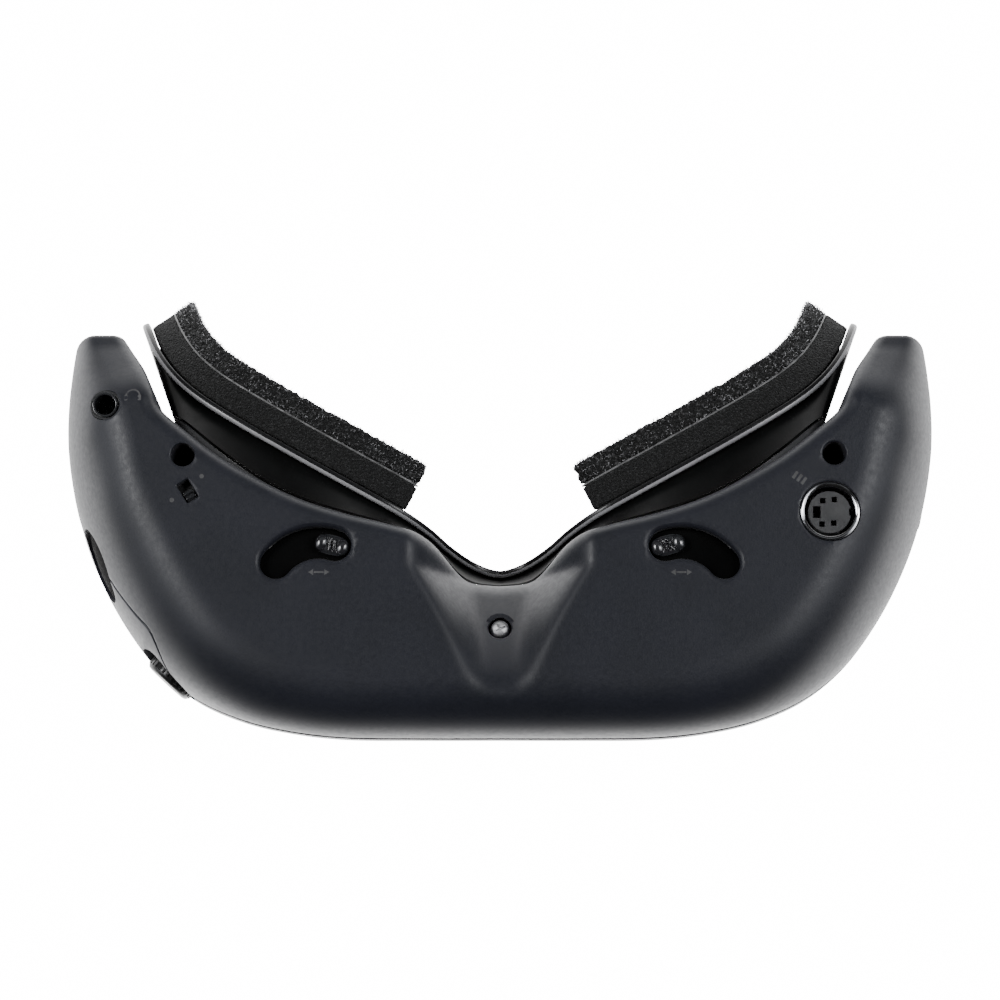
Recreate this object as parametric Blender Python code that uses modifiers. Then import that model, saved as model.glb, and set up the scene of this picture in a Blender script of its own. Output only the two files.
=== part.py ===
"""FPV video goggles: a crescent-shaped headset with sliding optics, a foam faceplate and its controls.

The wearer looks along -Y, +X is the wearer's left and +Z is up. The origin is on the surface that the
goggles stand on, under the middle of their box. Dimensions are in millimetres, and MM turns them into
the scene's metres when a mesh is made.
"""

import math

import bmesh
import bpy
from mathutils import Matrix, Vector

MM = 0.001
MIDDLE_Y = 3.5  # the shapes are drawn with the middle of their box here, and then moved back by it

# Driving dimensions
TOP = 70.0  # height of the roof
WALL = 1.8  # shell wall
GAP = 0.3  # clearance between neighbouring pieces
FIT = 0.08  # radial clearance of a shaft that runs in a hole
LOW_POWER = 2.15  # superellipse power of the lower rounding
REAR_ROLL = 3.0  # radius of the roll into the rear opening
RIM = 0.8  # straight lip above that roll
SEAM_DROP = 0.8  # the seam between the shells is this far below the widest line
COVER_TOP = 57.0  # top edge of the front cover
COVER_LEFT, COVER_RIGHT = 5.0, 7.25  # where the front cover ends, in stations
ARM_START, ARM_END = 9.5, 13.0  # stations between which the arms get thinner
ARM_LIFT, ARM_DROP = 10.0, 14.0  # how far an arm's lower and upper edges close in at its tip

# One rib of the body at each station, from the middle (0) to the tip of an arm (13):
# outer x, outer y, height of the widest line, lower rounding, upper rounding, rear x, rear y
STATIONS = (
    (0.0, -40.4, 11.0, 11.0, 26.0, 0.0, -10.8),
    (14.0, -40.4, 11.0, 11.0, 26.0, 6.4, -9.7),
    (28.0, -40.2, 11.0, 11.0, 25.0, 12.6, -4.8),
    (38.0, -39.0, 11.5, 12.0, 23.0, 20.0, -2.4),
    (47.0, -36.6, 13.0, 13.0, 21.0, 28.0, -0.4),
    (56.0, -32.0, 17.0, 14.0, 19.0, 36.0, 2.2),
    (64.0, -25.0, 22.0, 16.0, 17.0, 43.5, 5.8),
    (71.0, -15.3, 27.0, 17.0, 15.0, 51.0, 10.2),
    (76.2, -5.2, 31.5, 17.0, 13.0, 57.5, 15.2),
    (79.6, 4.5, 34.0, 17.0, 12.0, 61.9, 19.2),
    (81.4, 14.5, 34.0, 14.0, 11.0, 63.4, 23.0),
    (81.7, 23.0, 34.0, 11.0, 9.0, 65.2, 27.2),
    (81.1, 30.5, 34.0, 7.5, 7.0, 67.9, 31.6),
    (80.4, 35.0, 34.0, 5.5, 5.5, 70.0, 35.0),
)

# Nose channel under the middle of the body
NOSE_DEPTH = 17.0
NOSE_FRONT, NOSE_REAR = -34.0, -10.0  # y where it starts and where it is deepest
NOSE_FLOOR = (1.5, 4.5)  # half width of its flat bottom, at the front and at the rear
NOSE_SIDE = (6.0, 17.0)  # half width of its mouth
NOSE_CLIMB, NOSE_SPREAD = 1.3, 1.4  # how late it gets deep and wide on its way back

# The faceplate's flange in plan: two slopes that meet in a round bow, curve a little and then sweep
# back at the temples
BOW_Y, BOW_SLOPE, BOW_ROUND = -7.5, 0.505, 3.0
CURVE, CURVE_POWER = 4.0, 2.5
SWEEP, SWEEP_POWER = 9.5, 14
SWEEP_X = 66.0  # where the curve and the sweep have added CURVE and SWEEP
PAD_SLOPE = 1.5  # the pads stand square to the flange up to about this slope, and lean no further in

# Faceplate, seen from the face: half of its outline as x, z from the nose arch round to the brow
FACE_OUTLINE = (
    (0.0, 28.5), (5.0, 27.0), (9.0, 22.0), (12.5, 14.5), (17.5, 9.2), (26.0, 7.4), (40.0, 7.0),
    (52.0, 8.5), (60.4, 12.8), (65.5, 20.5), (67.1, 30.5), (67.1, 43.5), (65.5, 53.0), (60.4, 60.6),
    (51.0, 64.2), (38.0, 65.6), (22.0, 66.0), (8.0, 66.0), (0.0, 66.0),
)
# The opening in the back of the body, half of it in the same way
FRAME_OUTLINE = (
    (0.0, 22.8), (5.0, 22.2), (9.2, 18.2), (13.2, 12.2), (18.5, 7.2), (26.0, 4.9), (40.0, 4.6),
    (51.0, 4.8), (58.0, 6.6), (60.2, 13.0), (60.8, 24.0), (60.8, 46.0), (60.2, 57.0), (58.0, 63.4),
    (51.0, 65.2), (38.0, 65.4), (22.0, 65.4), (8.0, 65.4), (0.0, 65.4),
)
PAD_GAP = 0.45  # between the pads and the flange
FOAM_BASE = 5.2  # dense layer of the pads
FOAM_FACE = 4.1  # soft layer against the skin
FOAM_WIDTH = 10.0
PAD_START, PAD_END = 3.85, 16.2  # places on the face's outline where the pads end: nose and brow
FLANGE = 1.4

# Optics
EYE_HEIGHT = 38.0
EYE_X = 30.0  # half of the closest distance between the eyes
EYE_TRAVEL = 5.0  # how far each side slides out
TUBE_RADIUS = 12.0
CARRIAGE_FRONT, CARRIAGE_REAR = -22.5, -9.0
ROD_RADIUS = 1.25
ROD_RISE = 16.5  # the rods lie this far above and below the lens axes
ROD_Y = -16.0

# Eye-distance levers, under the cheeks
LEVER_X, LEVER_Y = 32.6, -16.0
LEVER_RADIUS = 9.8
LEVER_REST = math.radians(104.0)
LEVER_TURN = math.radians(-62.0)
LEVER_SLOT = 5.8
SLOT_MARGIN = 0.06  # how much further than the knob's middle the slot turns at each end
POST_RADIUS = 1.6
CRANK_RADIUS = EYE_TRAVEL / (2 * math.sin(-LEVER_TURN / 2))
PIN_RADIUS = 1.0
PIN_PLAY = 0.15  # room each side of the crank pin in its slot


def clear_scene():
    for obj in list(bpy.data.objects):
        bpy.data.objects.remove(obj, do_unlink=True)


def new_collection(name):
    made = bpy.data.collections.new(name)
    bpy.context.scene.collection.children.link(made)
    return made


clear_scene()
PARTS = new_collection("fpv_goggles")
TOOLS = new_collection("cutters")


def material(name, colour, roughness, metallic=0.0):
    made = bpy.data.materials.new(name)
    made.use_nodes = True
    shader = made.node_tree.nodes["Principled BSDF"]
    shader.inputs["Base Color"].default_value = (*colour, 1.0)
    shader.inputs["Roughness"].default_value = roughness
    shader.inputs["Metallic"].default_value = metallic
    return made


MATTE = material("matte_shell", (0.030, 0.031, 0.034), 0.50)
GLOSS = material("gloss_black", (0.010, 0.010, 0.011), 0.15)
KEYS = material("key_black", (0.015, 0.015, 0.016), 0.35)
FOAM_DENSE = material("dense_foam", (0.012, 0.012, 0.012), 0.95)
FOAM_SOFT = material("soft_foam", (0.035, 0.035, 0.035), 1.0)
STEEL = material("steel", (0.60, 0.60, 0.62), 0.25, 1.0)
GLASS = material("lens", (0.45, 0.48, 0.52), 0.05)
BOARD = material("circuit_board", (0.02, 0.10, 0.05), 0.5)
INSULATOR = material("socket_gray", (0.25, 0.25, 0.26), 0.45)
SCREEN = material("screen", (0.02, 0.03, 0.05), 0.1)


def smooth(low, high, value):
    """0 below low, 1 above high, and an even S between them."""
    part = min(1.0, max(0.0, (value - low) / (high - low)))
    return part * part * (3 - 2 * part)


def mix(first, second, part):
    return first + (second - first) * part


def along(points, place):
    """The point at this place, counted in points, on the smooth curve through them."""
    last = len(points) - 1
    place = min(max(place, 0.0), float(last))
    index = min(int(place), last - 1)
    part = place - index
    before = points[max(index - 1, 0)]
    here = points[index]
    after = points[index + 1]
    beyond = points[min(index + 2, last)]
    found = []
    for p0, p1, p2, p3 in zip(before, here, after, beyond):
        slope_in = (p2 - p0) / 2
        slope_out = (p3 - p1) / 2
        bend = 3 * (p2 - p1) - 2 * slope_in - slope_out
        twist = 2 * (p1 - p2) + slope_in + slope_out
        found.append(p1 + slope_in * part + bend * part**2 + twist * part**3)
    return found


def steps(low, high, count):
    return [mix(low, high, index / count) for index in range(count + 1)]


# The body's surface


def nose_rise(x, y):
    """How far the nose channel lifts the underside here."""
    back = min(1.0, max(0.0, (y - NOSE_FRONT) / (NOSE_REAR - NOSE_FRONT)))
    spread = back**NOSE_SPREAD
    floor, side = mix(*NOSE_FLOOR, spread), mix(*NOSE_SIDE, spread)
    return NOSE_DEPTH * back**NOSE_CLIMB * (1 - smooth(floor, side, abs(x)))


def brow_line(x, rear_y):
    """y of the roof's rear edge where the cheeks' rear edge has this x and y."""
    return mix(-9.6 + 0.33 * x, rear_y, smooth(12.0, 22.0, x))


def rounding(radius, height, power, angle):
    """(inset, rise) on a superellipse corner: at its widest line at 0 degrees, and flat at 90."""
    inset = radius * (1 - max(math.cos(angle), 0.0) ** (2 / power))
    rise = height * math.sin(angle) ** (2 / power)
    return inset, rise


def corner_angle(part, power):
    """The angle at which that corner has risen by this part of its height."""
    return math.asin(min(1.0, max(0.0, part)) ** (power / 2))


def belt_drop(station):
    """The seam round the body follows its widest line, and dips on the left under the keys."""
    if station <= COVER_LEFT:
        return 0.0
    return 14.0 * smooth(5.0, 6.3, station) * (1 - smooth(7.6, 10.2, station))


class Rib:
    """The body's section at a station, negative on the right side."""

    def __init__(self, station):
        self.side = -1 if station < 0 else 1
        self.at = abs(station)
        outer_x, outer_y, widest, low, high, rear_x, rear_y = along(STATIONS, self.at)
        thin = smooth(ARM_START, ARM_END, self.at)
        self.outer = Vector((outer_x, outer_y))
        self.rear = Vector((rear_x, rear_y))
        brow_y = brow_line(rear_x, rear_y)
        self.brow = Vector((rear_x, brow_y))
        self.widest = widest
        self.low, self.high = low, high
        self.floor = ARM_LIFT * thin
        self.roof = TOP - ARM_DROP * thin
        self.low_power = LOW_POWER
        self.high_power = mix(1.5, 2.2, smooth(3.0, 8.0, self.at))
        self.roll = mix(REAR_ROLL, 2.0, thin)
        self.closed = smooth(8.95, 9.35, self.at)  # 0 beside the rear opening, 1 along the arm
        self.belt = widest - SEAM_DROP - (belt_drop(station) if station > 0 else 0.0)

    def point(self, end, inset, z):
        place = self.outer + (end - self.outer).normalized() * inset
        return Vector((place.x * self.side, place.y, z))

    def under(self, drop=0.0, count=4):
        """The underside's points, from the belt down, across and up to the rear rim."""
        made = []
        height = self.widest - self.floor
        start = corner_angle((self.widest - self.belt + drop) / height, self.low_power)
        for angle in steps(start, math.pi / 2, count):
            inset, fall = rounding(self.low, height, self.low_power, angle)
            made.append(self.point(self.rear, inset, self.widest - fall))
        width = (self.rear - self.outer).length
        for part in (0.4, 0.8):
            made.append(self.point(self.rear, mix(self.low, width - self.roll, part), self.floor))
        for angle in steps(0.0, math.pi / 2, 2):
            inset = width - self.roll * (1 - math.sin(angle))
            made.append(self.point(self.rear, inset, self.floor + self.roll * (1 - math.cos(angle))))
        rim = mix(self.floor + self.roll + RIM, self.belt - drop, self.closed)
        made.append(self.point(self.rear, width, rim))
        for place in made:
            place.z += nose_rise(place.x, place.y)
        return made

    def over(self, lift=0.0, count=5):
        """The upper side's points, from the belt up, across and down to the rear rim."""
        made = []
        height = self.widest - self.floor
        start = corner_angle((self.widest - self.belt - lift) / height, self.low_power)
        for angle in steps(start, 0.0, 2)[:-1]:
            inset, fall = rounding(self.low, height, self.low_power, angle)
            made.append(self.point(self.rear, inset, self.widest - fall))
        made += self.front(self.widest, self.roof, count)
        width = (self.brow - self.outer).length
        made.append(self.point(self.brow, mix(self.high, width - self.roll, 0.5), self.roof))
        for angle in steps(0.0, math.pi / 2, 2):
            inset = width - self.roll * (1 - math.sin(angle))
            made.append(self.point(self.brow, inset, self.roof - self.roll * (1 - math.cos(angle))))
        rim = mix(self.roof - self.roll - RIM, self.belt + lift, self.closed)
        made.append(self.point(self.brow, width, rim))
        return made

    def front(self, low, high, count):
        """The outer wall's points between two heights at or above its widest line."""
        height = self.roof - self.widest
        made = []
        first = corner_angle((low - self.widest) / height, self.high_power)
        last = corner_angle((high - self.widest) / height, self.high_power)
        for angle in steps(first, last, count):
            inset, rise = rounding(self.high, height, self.high_power, angle)
            made.append(self.point(self.brow, inset, self.widest + rise))
        return made


def wall_point(station, z):
    """The point of the outer wall at this height."""
    rib = Rib(station)
    if z >= rib.widest:
        height, power, radius = rib.roof - rib.widest, rib.high_power, rib.high
        end, part = rib.brow, (z - rib.widest) / height
    else:
        height, power, radius = rib.widest - rib.floor, rib.low_power, rib.low
        end, part = rib.rear, (rib.widest - z) / height
    inset, _ = rounding(radius, height, power, corner_angle(part, power))
    return rib.point(end, inset, z)


def skin_height(x, y):
    """z of the underside's outer skin at this place."""
    place = Vector((abs(x), y))
    low, high = 0.0, ARM_END
    for _ in range(30):
        middle = (low + high) / 2
        rib = Rib(middle)
        beyond = (rib.rear - rib.outer).cross(place - rib.outer) < 0
        low, high = (middle, high) if beyond else (low, middle)
    rib = Rib(low)
    part = min(1.0, (place - rib.outer).length / rib.low)
    angle = math.acos((1 - part) ** (rib.low_power / 2))
    fall = rounding(rib.low, rib.widest - rib.floor, rib.low_power, angle)[1]
    return rib.widest - fall + nose_rise(x, y)


def wall_place(station, z):
    """The matrix of a frame on the outer wall: Z points out of the body, and Y up along the wall."""
    side = -1 if station < 0 else 1
    ahead = wall_point(station + 0.1, z) - wall_point(station - 0.1, z)
    up = (wall_point(station, z + 0.5) - wall_point(station, z - 0.5)).normalized()
    out = up.cross(ahead).normalized() * side
    out = out if out.x * side > 0 else -out
    across = up.cross(out).normalized()
    turned = Matrix((across, out.cross(across), out)).transposed().to_4x4()
    return Matrix.Translation(wall_point(station, z)) @ turned


# Mesh helpers


def add_mesh(name, bm, finish=None, turn=40.0):
    """Makes an object from a bmesh in millimetres. Without a finish it is a cutter."""
    bmesh.ops.scale(bm, vec=(MM, MM, MM), verts=bm.verts)
    mesh = bpy.data.meshes.new(name)
    bm.to_mesh(mesh)
    bm.free()
    mesh.shade_smooth()
    mesh.set_sharp_from_angle(angle=math.radians(turn))
    obj = bpy.data.objects.new(name, mesh)
    if finish:
        mesh.materials.append(finish)
        PARTS.objects.link(obj)
    else:
        TOOLS.objects.link(obj)
        obj.hide_render = True
        obj.display_type = "WIRE"
    return obj


def loft(name, rows, finish=None, ring=False, closed=False, ends=False, thickness=0.0):
    """A surface through rows of points. ring joins the last row to the first, closed joins each row's
    end to its start, and ends fills the first and last rows. thickness makes the surface a shell."""
    bm = bmesh.new()
    grid = [[bm.verts.new(point) for point in row] for row in rows]
    row_pairs = list(zip(grid, grid[1:])) + ([(grid[-1], grid[0])] if ring else [])
    for first, second in row_pairs:
        count = len(first) if closed else len(first) - 1
        for index in range(count):
            after = (index + 1) % len(first)
            bm.faces.new((first[index], first[after], second[after], second[index]))
    if ends:
        bm.faces.new(grid[0])
        bm.faces.new(grid[-1])
    bmesh.ops.recalc_face_normals(bm, faces=bm.faces)
    obj = add_mesh(name, bm, finish)
    if thickness:
        shell = obj.modifiers.new("wall", "SOLIDIFY")
        shell.thickness = abs(thickness) * MM
        shell.offset = math.copysign(1.0, thickness)
        shell.use_even_offset = True
    return obj


def prism(name, outline, low, high, finish=None, place=None):
    """A flat outline of (x, y) points extruded from low to high along its own Z."""
    bm = bmesh.new()
    face = bm.faces.new([bm.verts.new((x, y, low)) for x, y in outline])
    raised = bmesh.ops.extrude_face_region(bm, geom=[face])["geom"]
    moved = [item for item in raised if isinstance(item, bmesh.types.BMVert)]
    bmesh.ops.translate(bm, vec=(0, 0, high - low), verts=moved)
    if place:
        bmesh.ops.transform(bm, matrix=place, verts=bm.verts)
    bmesh.ops.recalc_face_normals(bm, faces=bm.faces)
    return add_mesh(name, bm, finish)


def box(name, low, high, finish=None):
    bm = bmesh.new()
    low, high = Vector(low), Vector(high)
    size = Matrix.Diagonal((*(high - low), 1.0))
    bmesh.ops.create_cube(bm, size=1.0, matrix=Matrix.Translation((low + high) / 2) @ size)
    return add_mesh(name, bm, finish)


def cylinder(name, start, axis, radius, length, finish=None, sides=24):
    bm = bmesh.new()
    axis = Vector(axis).normalized()
    turned = axis.to_track_quat("Z", "Y").to_matrix().to_4x4()
    place = Matrix.Translation(Vector(start) + axis * length / 2) @ turned
    bmesh.ops.create_cone(
        bm, cap_ends=True, segments=sides, radius1=radius, radius2=radius, depth=length, matrix=place
    )
    return add_mesh(name, bm, finish)


def turned(name, profile, finish, place, sides=24):
    """A turned shape: (radius, height) points, top to bottom down its outer side, about its own Z."""
    bm = bmesh.new()
    made = [bm.verts.new((radius * MM, 0, height * MM)) for radius, height in profile]
    for pair in zip(made, made[1:]):
        bm.edges.new(pair)
    mesh = bpy.data.meshes.new(name)
    bm.to_mesh(mesh)
    bm.free()
    obj = bpy.data.objects.new(name, mesh)
    mesh.materials.append(finish)
    PARTS.objects.link(obj)
    obj.matrix_world = Matrix.Translation(place.to_translation() * MM) @ place.to_3x3().to_4x4()
    screw = obj.modifiers.new("turn", "SCREW")
    screw.steps = screw.render_steps = sides
    screw.use_merge_vertices = True
    screw.merge_threshold = 1e-5
    screw.use_smooth_shade = True
    return obj


def boolean(obj, other, operation):
    made = obj.modifiers.new(f"{operation.lower()}_{other.name}", "BOOLEAN")
    made.operation = operation
    made.solver = "EXACT"
    made.object = other


def cut(obj, *others):
    for other in others:
        boolean(obj, other, "DIFFERENCE")


def join(obj, *others):
    for other in others:
        boolean(obj, other, "UNION")


def set_pivot(obj, point):
    """Puts the object's origin on its joint, leaving its shape where it is."""
    point = Vector(point) * MM
    obj.data.transform(Matrix.Translation(-point))
    obj.location = point


def rounded(half_x, half_y, radius, centre=(0.0, 0.0), angle=0.0, corner=4):
    """A rectangle's outline with round corners, turned about its centre."""
    made = []
    for quarter, (sx, sy) in enumerate(((1, 1), (-1, 1), (-1, -1), (1, -1))):
        for step in range(corner + 1):
            bend = math.pi / 2 * (quarter + step / corner)
            x = sx * (half_x - radius) + radius * math.cos(bend)
            y = sy * (half_y - radius) + radius * math.sin(bend)
            made.append(
                (
                    centre[0] + x * math.cos(angle) - y * math.sin(angle),
                    centre[1] + x * math.sin(angle) + y * math.cos(angle),
                )
            )
    return made


def arc_slot(centre, radius, width, first, last, bends=10, ends=6):
    """The outline of a slot that follows an arc, with round ends."""
    made = []
    for angle in steps(first, last, bends):
        made.append(polar(centre, radius + width / 2, angle))
    end = polar(centre, radius, last)
    turn = math.copysign(math.pi, last - first)
    for part in steps(0.0, 1.0, ends)[1:-1]:
        made.append(polar(end, width / 2, last + turn * part))
    for angle in steps(last, first, bends):
        made.append(polar(centre, radius - width / 2, angle))
    start = polar(centre, radius, first)
    for part in steps(0.0, 1.0, ends)[1:-1]:
        made.append(polar(start, width / 2, first + math.pi + turn * part))
    return made


def on_side(side, angle):
    """An angle in plan on the left side, or its mirror image on the right."""
    return angle if side > 0 else math.pi - angle


def polar(centre, radius, angle):
    return (centre[0] + radius * math.cos(angle), centre[1] + radius * math.sin(angle))


# Places that several pieces share

UP = (0, 0, 1)
HALF_STATIONS = (0.0, 0.7, 1.3, 1.9, 2.5, 3.3, 4.5, 5.75, 7.0, 8.2, 8.95, 9.35, 10.2, 11.2, 12.2, 13.0)
ALL_STATIONS = [-station for station in HALF_STATIONS[:0:-1]] + list(HALF_STATIONS)

JACK = (71.7, 19.5)
DATA_SOCKET = (-59.4, -0.5)
PIN_HOLES = ((-1.2, 2.1), (0.9, 2.3), (-1.4, -2.2), (0.7, -2.0))  # right of and behind its middle
MODE_SWITCH = (56.3, 3.2)
MODE_ANGLE = math.radians(58.0)
MODE_TRAVEL = 1.5
SCREWS = (  # name, place, how far its seat is inside the skin
    ("nose", (0.0, -20.5), 2.4),
    ("left", (57.3, 9.9), 8.5),
    ("right", (-60.4, 10.2), 8.5),
)
WELL_RADIUS = 2.15
SEAT_DEPTH = 2.4  # thickness of the boss above the seat
SIDE_KEY = (7.75, 19.5)  # station, height
MENU_STICK = (5.6, 20.5)
KEY_HOLE, KEY_RADIUS, STICK_RADIUS = 7.3, 6.5, 5.0
POWER_KEY = (-9.3, 40.5)
MENU_KEY = (-10.25, 40.5)
POWER_SOCKET = (-8.2, 46.0)
STRAP_SLOT_LOW = (66.0, 26.8, 21.0)
STRAP_SLOT_HIGH = (84.0, 31.8, 47.5)


def screw_heights(place, depth):
    """(skin, seat, boss top): heights of the skin, of the head's seat and of the end of the boss."""
    skin = nose_rise(*place)
    return skin, skin + depth, skin + depth + SEAT_DEPTH


def strap_cutter(side):
    low, high = STRAP_SLOT_LOW, STRAP_SLOT_HIGH
    xs = sorted((side * low[0], side * high[0]))
    return box(f"cut_strap_{side}", (xs[0], *low[1:]), (xs[1], *high[1:]))


def key_cutter(name, station, z, radius):
    frame = wall_place(station, z)
    out = frame.col[2].to_3d()
    return cylinder(f"cut_{name}", frame.to_translation() - out * 7, out, radius, 14.0, sides=32)


STRAP_CUTTERS = [strap_cutter(side) for side in (1, -1)]
KEY_CUTTERS = [key_cutter("side_key", *SIDE_KEY, KEY_HOLE), key_cutter("stick", *MENU_STICK, KEY_HOLE)]


# The body


def make_bottom_shell():
    rows = [Rib(station).under(GAP / 2) for station in ALL_STATIONS]
    shell = loft("bottom_shell", rows, MATTE, ends=True, thickness=-WALL)
    for name, place, depth in SCREWS:
        skin, seat, top = screw_heights(place, depth)
        boss = cylinder(f"boss_{name}", (*place, skin + 1.0), UP, 2.9, top - skin - 1.0, sides=20)
        join(shell, boss)
        cut(shell, cylinder(f"well_{name}", (*place, skin - 4.0), UP, WELL_RADIUS, seat - skin + 4.0))
        cut(shell, cylinder(f"bore_{name}", (*place, seat - 1.0), UP, 1.4, 5.0, sides=16))
    for side in (1, -1):
        pivot = (side * LEVER_X, LEVER_Y)
        join(shell, cylinder(f"lever_post_{side}", (*pivot, 1.0), UP, POST_RADIUS, 5.0))
        first = on_side(side, LEVER_REST + SLOT_MARGIN)
        last = on_side(side, LEVER_REST + LEVER_TURN - SLOT_MARGIN)
        outline = arc_slot(pivot, LEVER_RADIUS, LEVER_SLOT, first, last)
        cut(shell, prism(f"lever_slot_{side}", outline, -2.0, 2.6))
    cut(shell, cylinder("cut_jack", (*JACK, -2.0), UP, 2.9, 16.0))
    cut(shell, cylinder("cut_data", (*DATA_SOCKET, -2.0), UP, 5.7, 6.0, sides=36))
    window = rounded(1.95, 1.2, 0.3, MODE_SWITCH, MODE_ANGLE)
    cut(shell, prism("cut_mode", window, -2.0, 3.0))
    cut(shell, *STRAP_CUTTERS, *KEY_CUTTERS)


def front_rows(spread, below, high):
    """Rows of the front wall between the cover's ends, from this far below the widest line to a height."""
    rows = []
    for station in steps(-COVER_RIGHT - spread, COVER_LEFT + spread, 18):
        rib = Rib(station)
        row = []
        if below:
            height = rib.widest - rib.floor
            inset, fall = rounding(rib.low, height, LOW_POWER, corner_angle(below / height, LOW_POWER))
            row.append(rib.point(rib.rear, inset, rib.widest - fall))
        rows.append(row + rib.front(rib.widest, high, 5))
    return rows


def make_top_shell():
    rows = [Rib(station).over(GAP / 2) for station in ALL_STATIONS]
    shell = loft("top_shell", rows, MATTE, ends=True, thickness=-WALL)
    for name, place, depth in SCREWS:
        low = screw_heights(place, depth)[2] + GAP
        high = TOP - (7.5 if name == "nose" else 1.0)
        join(shell, cylinder(f"post_{name}", (*place, low), UP, 2.7, high - low, sides=20))
        cut(shell, cylinder(f"pilot_{name}", (*place, low - 1.0), UP, 1.4, 18.0, sides=16))
    window = loft("cut_cover", front_rows(0.04, 3.0, COVER_TOP + GAP), thickness=7.0)
    window.modifiers["wall"].offset = 0.0
    cut(shell, window, *STRAP_CUTTERS, *KEY_CUTTERS)
    cut(shell, prism("cut_power", rounded(2.0, 3.7, 1.9), -5.0, 5.0, place=key_frame(POWER_KEY)))
    cut(shell, key_cutter("menu_key", *MENU_KEY, 1.3))
    cut(shell, key_cutter("power_socket", *POWER_SOCKET, 3.3))


def key_frame(place):
    """A wall frame with X up the wall, so that a key's long side lies along the body."""
    return wall_place(*place) @ Matrix.Rotation(math.pi / 2, 4, "Z")


def make_front_cover():
    loft("front_cover", front_rows(0.0, 0.0, COVER_TOP - GAP), MATTE, thickness=-WALL)


# The face side


def face_line(x):
    """y of the faceplate's flange at this x."""
    part = abs(x) / SWEEP_X
    bow = BOW_Y + BOW_SLOPE * math.hypot(x, BOW_ROUND)
    return bow + CURVE * part**CURVE_POWER + SWEEP * part**SWEEP_POWER


def face_slope(x):
    """dy/dx of that line."""
    return (face_line(x + 0.2) - face_line(x - 0.2)) / 0.4


def rear_line(x, z):
    """y of the body's rear edge at this x and height, on the cheeks or on the brow."""
    x = abs(x)
    low, high = 0.0, ARM_END
    for _ in range(30):
        middle = (low + high) / 2
        if along(STATIONS, middle)[5] < x:
            low = middle
        else:
            high = middle
    cheek = along(STATIONS, low)[6]
    return mix(cheek, brow_line(x, cheek), smooth(24.0, 50.0, z))


def outline_at(outline, place):
    """(x, z) on an outline, from the nose at 0 round the +X side to the brow and back on the other."""
    half = len(outline) - 1
    place %= 2 * half
    mirrored = place > half
    x, z = along(outline, 2 * half - place if mirrored else place)
    return (-x if mirrored else x), z


def inset_at(outline, place, inset):
    """(x, z) on an outline moved this far into the opening."""
    x0, z0 = outline_at(outline, place - 0.15)
    x1, z1 = outline_at(outline, place + 0.15)
    x, z = outline_at(outline, place)
    run = Vector((x1 - x0, z1 - z0)).normalized()
    return x - run.y * inset, z + run.x * inset


def lip_reach(x):
    """How far the frame's lip stands out behind the shells: it widens towards the temples."""
    return 0.3 + 1.5 * smooth(40.0, 57.0, abs(x))


def frame_depth(x):
    """How deep the eyepiece frame's plate lies inside the body."""
    return mix(3.5, 4.5, smooth(10.0, 16.0, abs(x))) - 3.8 * smooth(42.0, 52.0, abs(x))


def make_eyepiece_frame():
    outline = [outline_at(FRAME_OUTLINE, place) for place in steps(0.0, 36.0, 54)[:-1]]
    rows = [
        [(x, rear_line(x, z) + lip_reach(x), z) for x, z in outline],
        [(x, rear_line(x, z), z) for x, z in outline],
    ]
    for scale in (1.0, 0.72, 0.38, 0.05):
        ring = [(x * scale, mix(44.0, z, scale)) for x, z in outline]
        rows.append([(x, rear_line(x, z) - frame_depth(x), z) for x, z in ring])
    frame = loft("eyepiece_frame", rows, GLOSS, closed=True)
    fill = bmesh.new()
    fill.from_mesh(frame.data)
    edges = [edge for edge in fill.edges if edge.is_boundary]
    inner = [edge for edge in edges if max(abs(vert.co.x) for vert in edge.verts) < 45 * MM]
    bmesh.ops.contextual_create(fill, geom=inner)
    bmesh.ops.recalc_face_normals(fill, faces=fill.faces)
    bmesh.ops.triangulate(fill, faces=[face for face in fill.faces if len(face.verts) > 4])
    fill.to_mesh(frame.data)
    fill.free()
    wall = frame.modifiers.new("wall", "SOLIDIFY")
    wall.thickness = 1.2 * MM
    wall.offset = -1.0
    wall.use_even_offset = True
    for side in (1, -1):
        middle = side * (EYE_X + EYE_TRAVEL / 2)
        window = rounded(11.0 + EYE_TRAVEL / 2, 11.0, 10.9, (middle, EYE_HEIGHT), corner=8)
        face_on = Matrix.Rotation(math.pi / 2, 4, "X")
        cut(frame, prism(f"eye_window_{side}", window, -12.0, 14.0, place=face_on))


PAD_INSETS = (1.3, 4.6, 8.0, 1.3 + FOAM_WIDTH)  # across a pad, from the flange's edge inwards


def flange_place(place, inset):
    """(x, z) on the flange, this far along its face from its edge."""
    x, z = outline_at(FACE_OUTLINE, place)
    inward = Vector(inset_at(FACE_OUTLINE, place, 1.0)) - Vector((x, z))
    for _ in range(8):
        step = inset / 8 / math.hypot(1.0, face_slope(x) * inward.x)
        x += inward.x * step
        z += inward.y * step
    return x, z


def stood_off(x, z, slope, out):
    """The point this far from the flange's face at x and z, square to a line of this slope in plan."""
    square = Vector((-slope, 1.0)).normalized()
    return (x + square.x * out, face_line(x) + square.y * out, z)


def flange_point(place, inset, out):
    """A point above (out) or below the flange's face."""
    x, z = flange_place(place, inset)
    return stood_off(x, z, face_slope(x), out)


def pad_point(place, inset, out):
    """A point of a pad, this far from the flange."""
    x, z = flange_place(place, inset)
    return stood_off(x, z, PAD_SLOPE * math.tanh(face_slope(x) / PAD_SLOPE), out)


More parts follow.
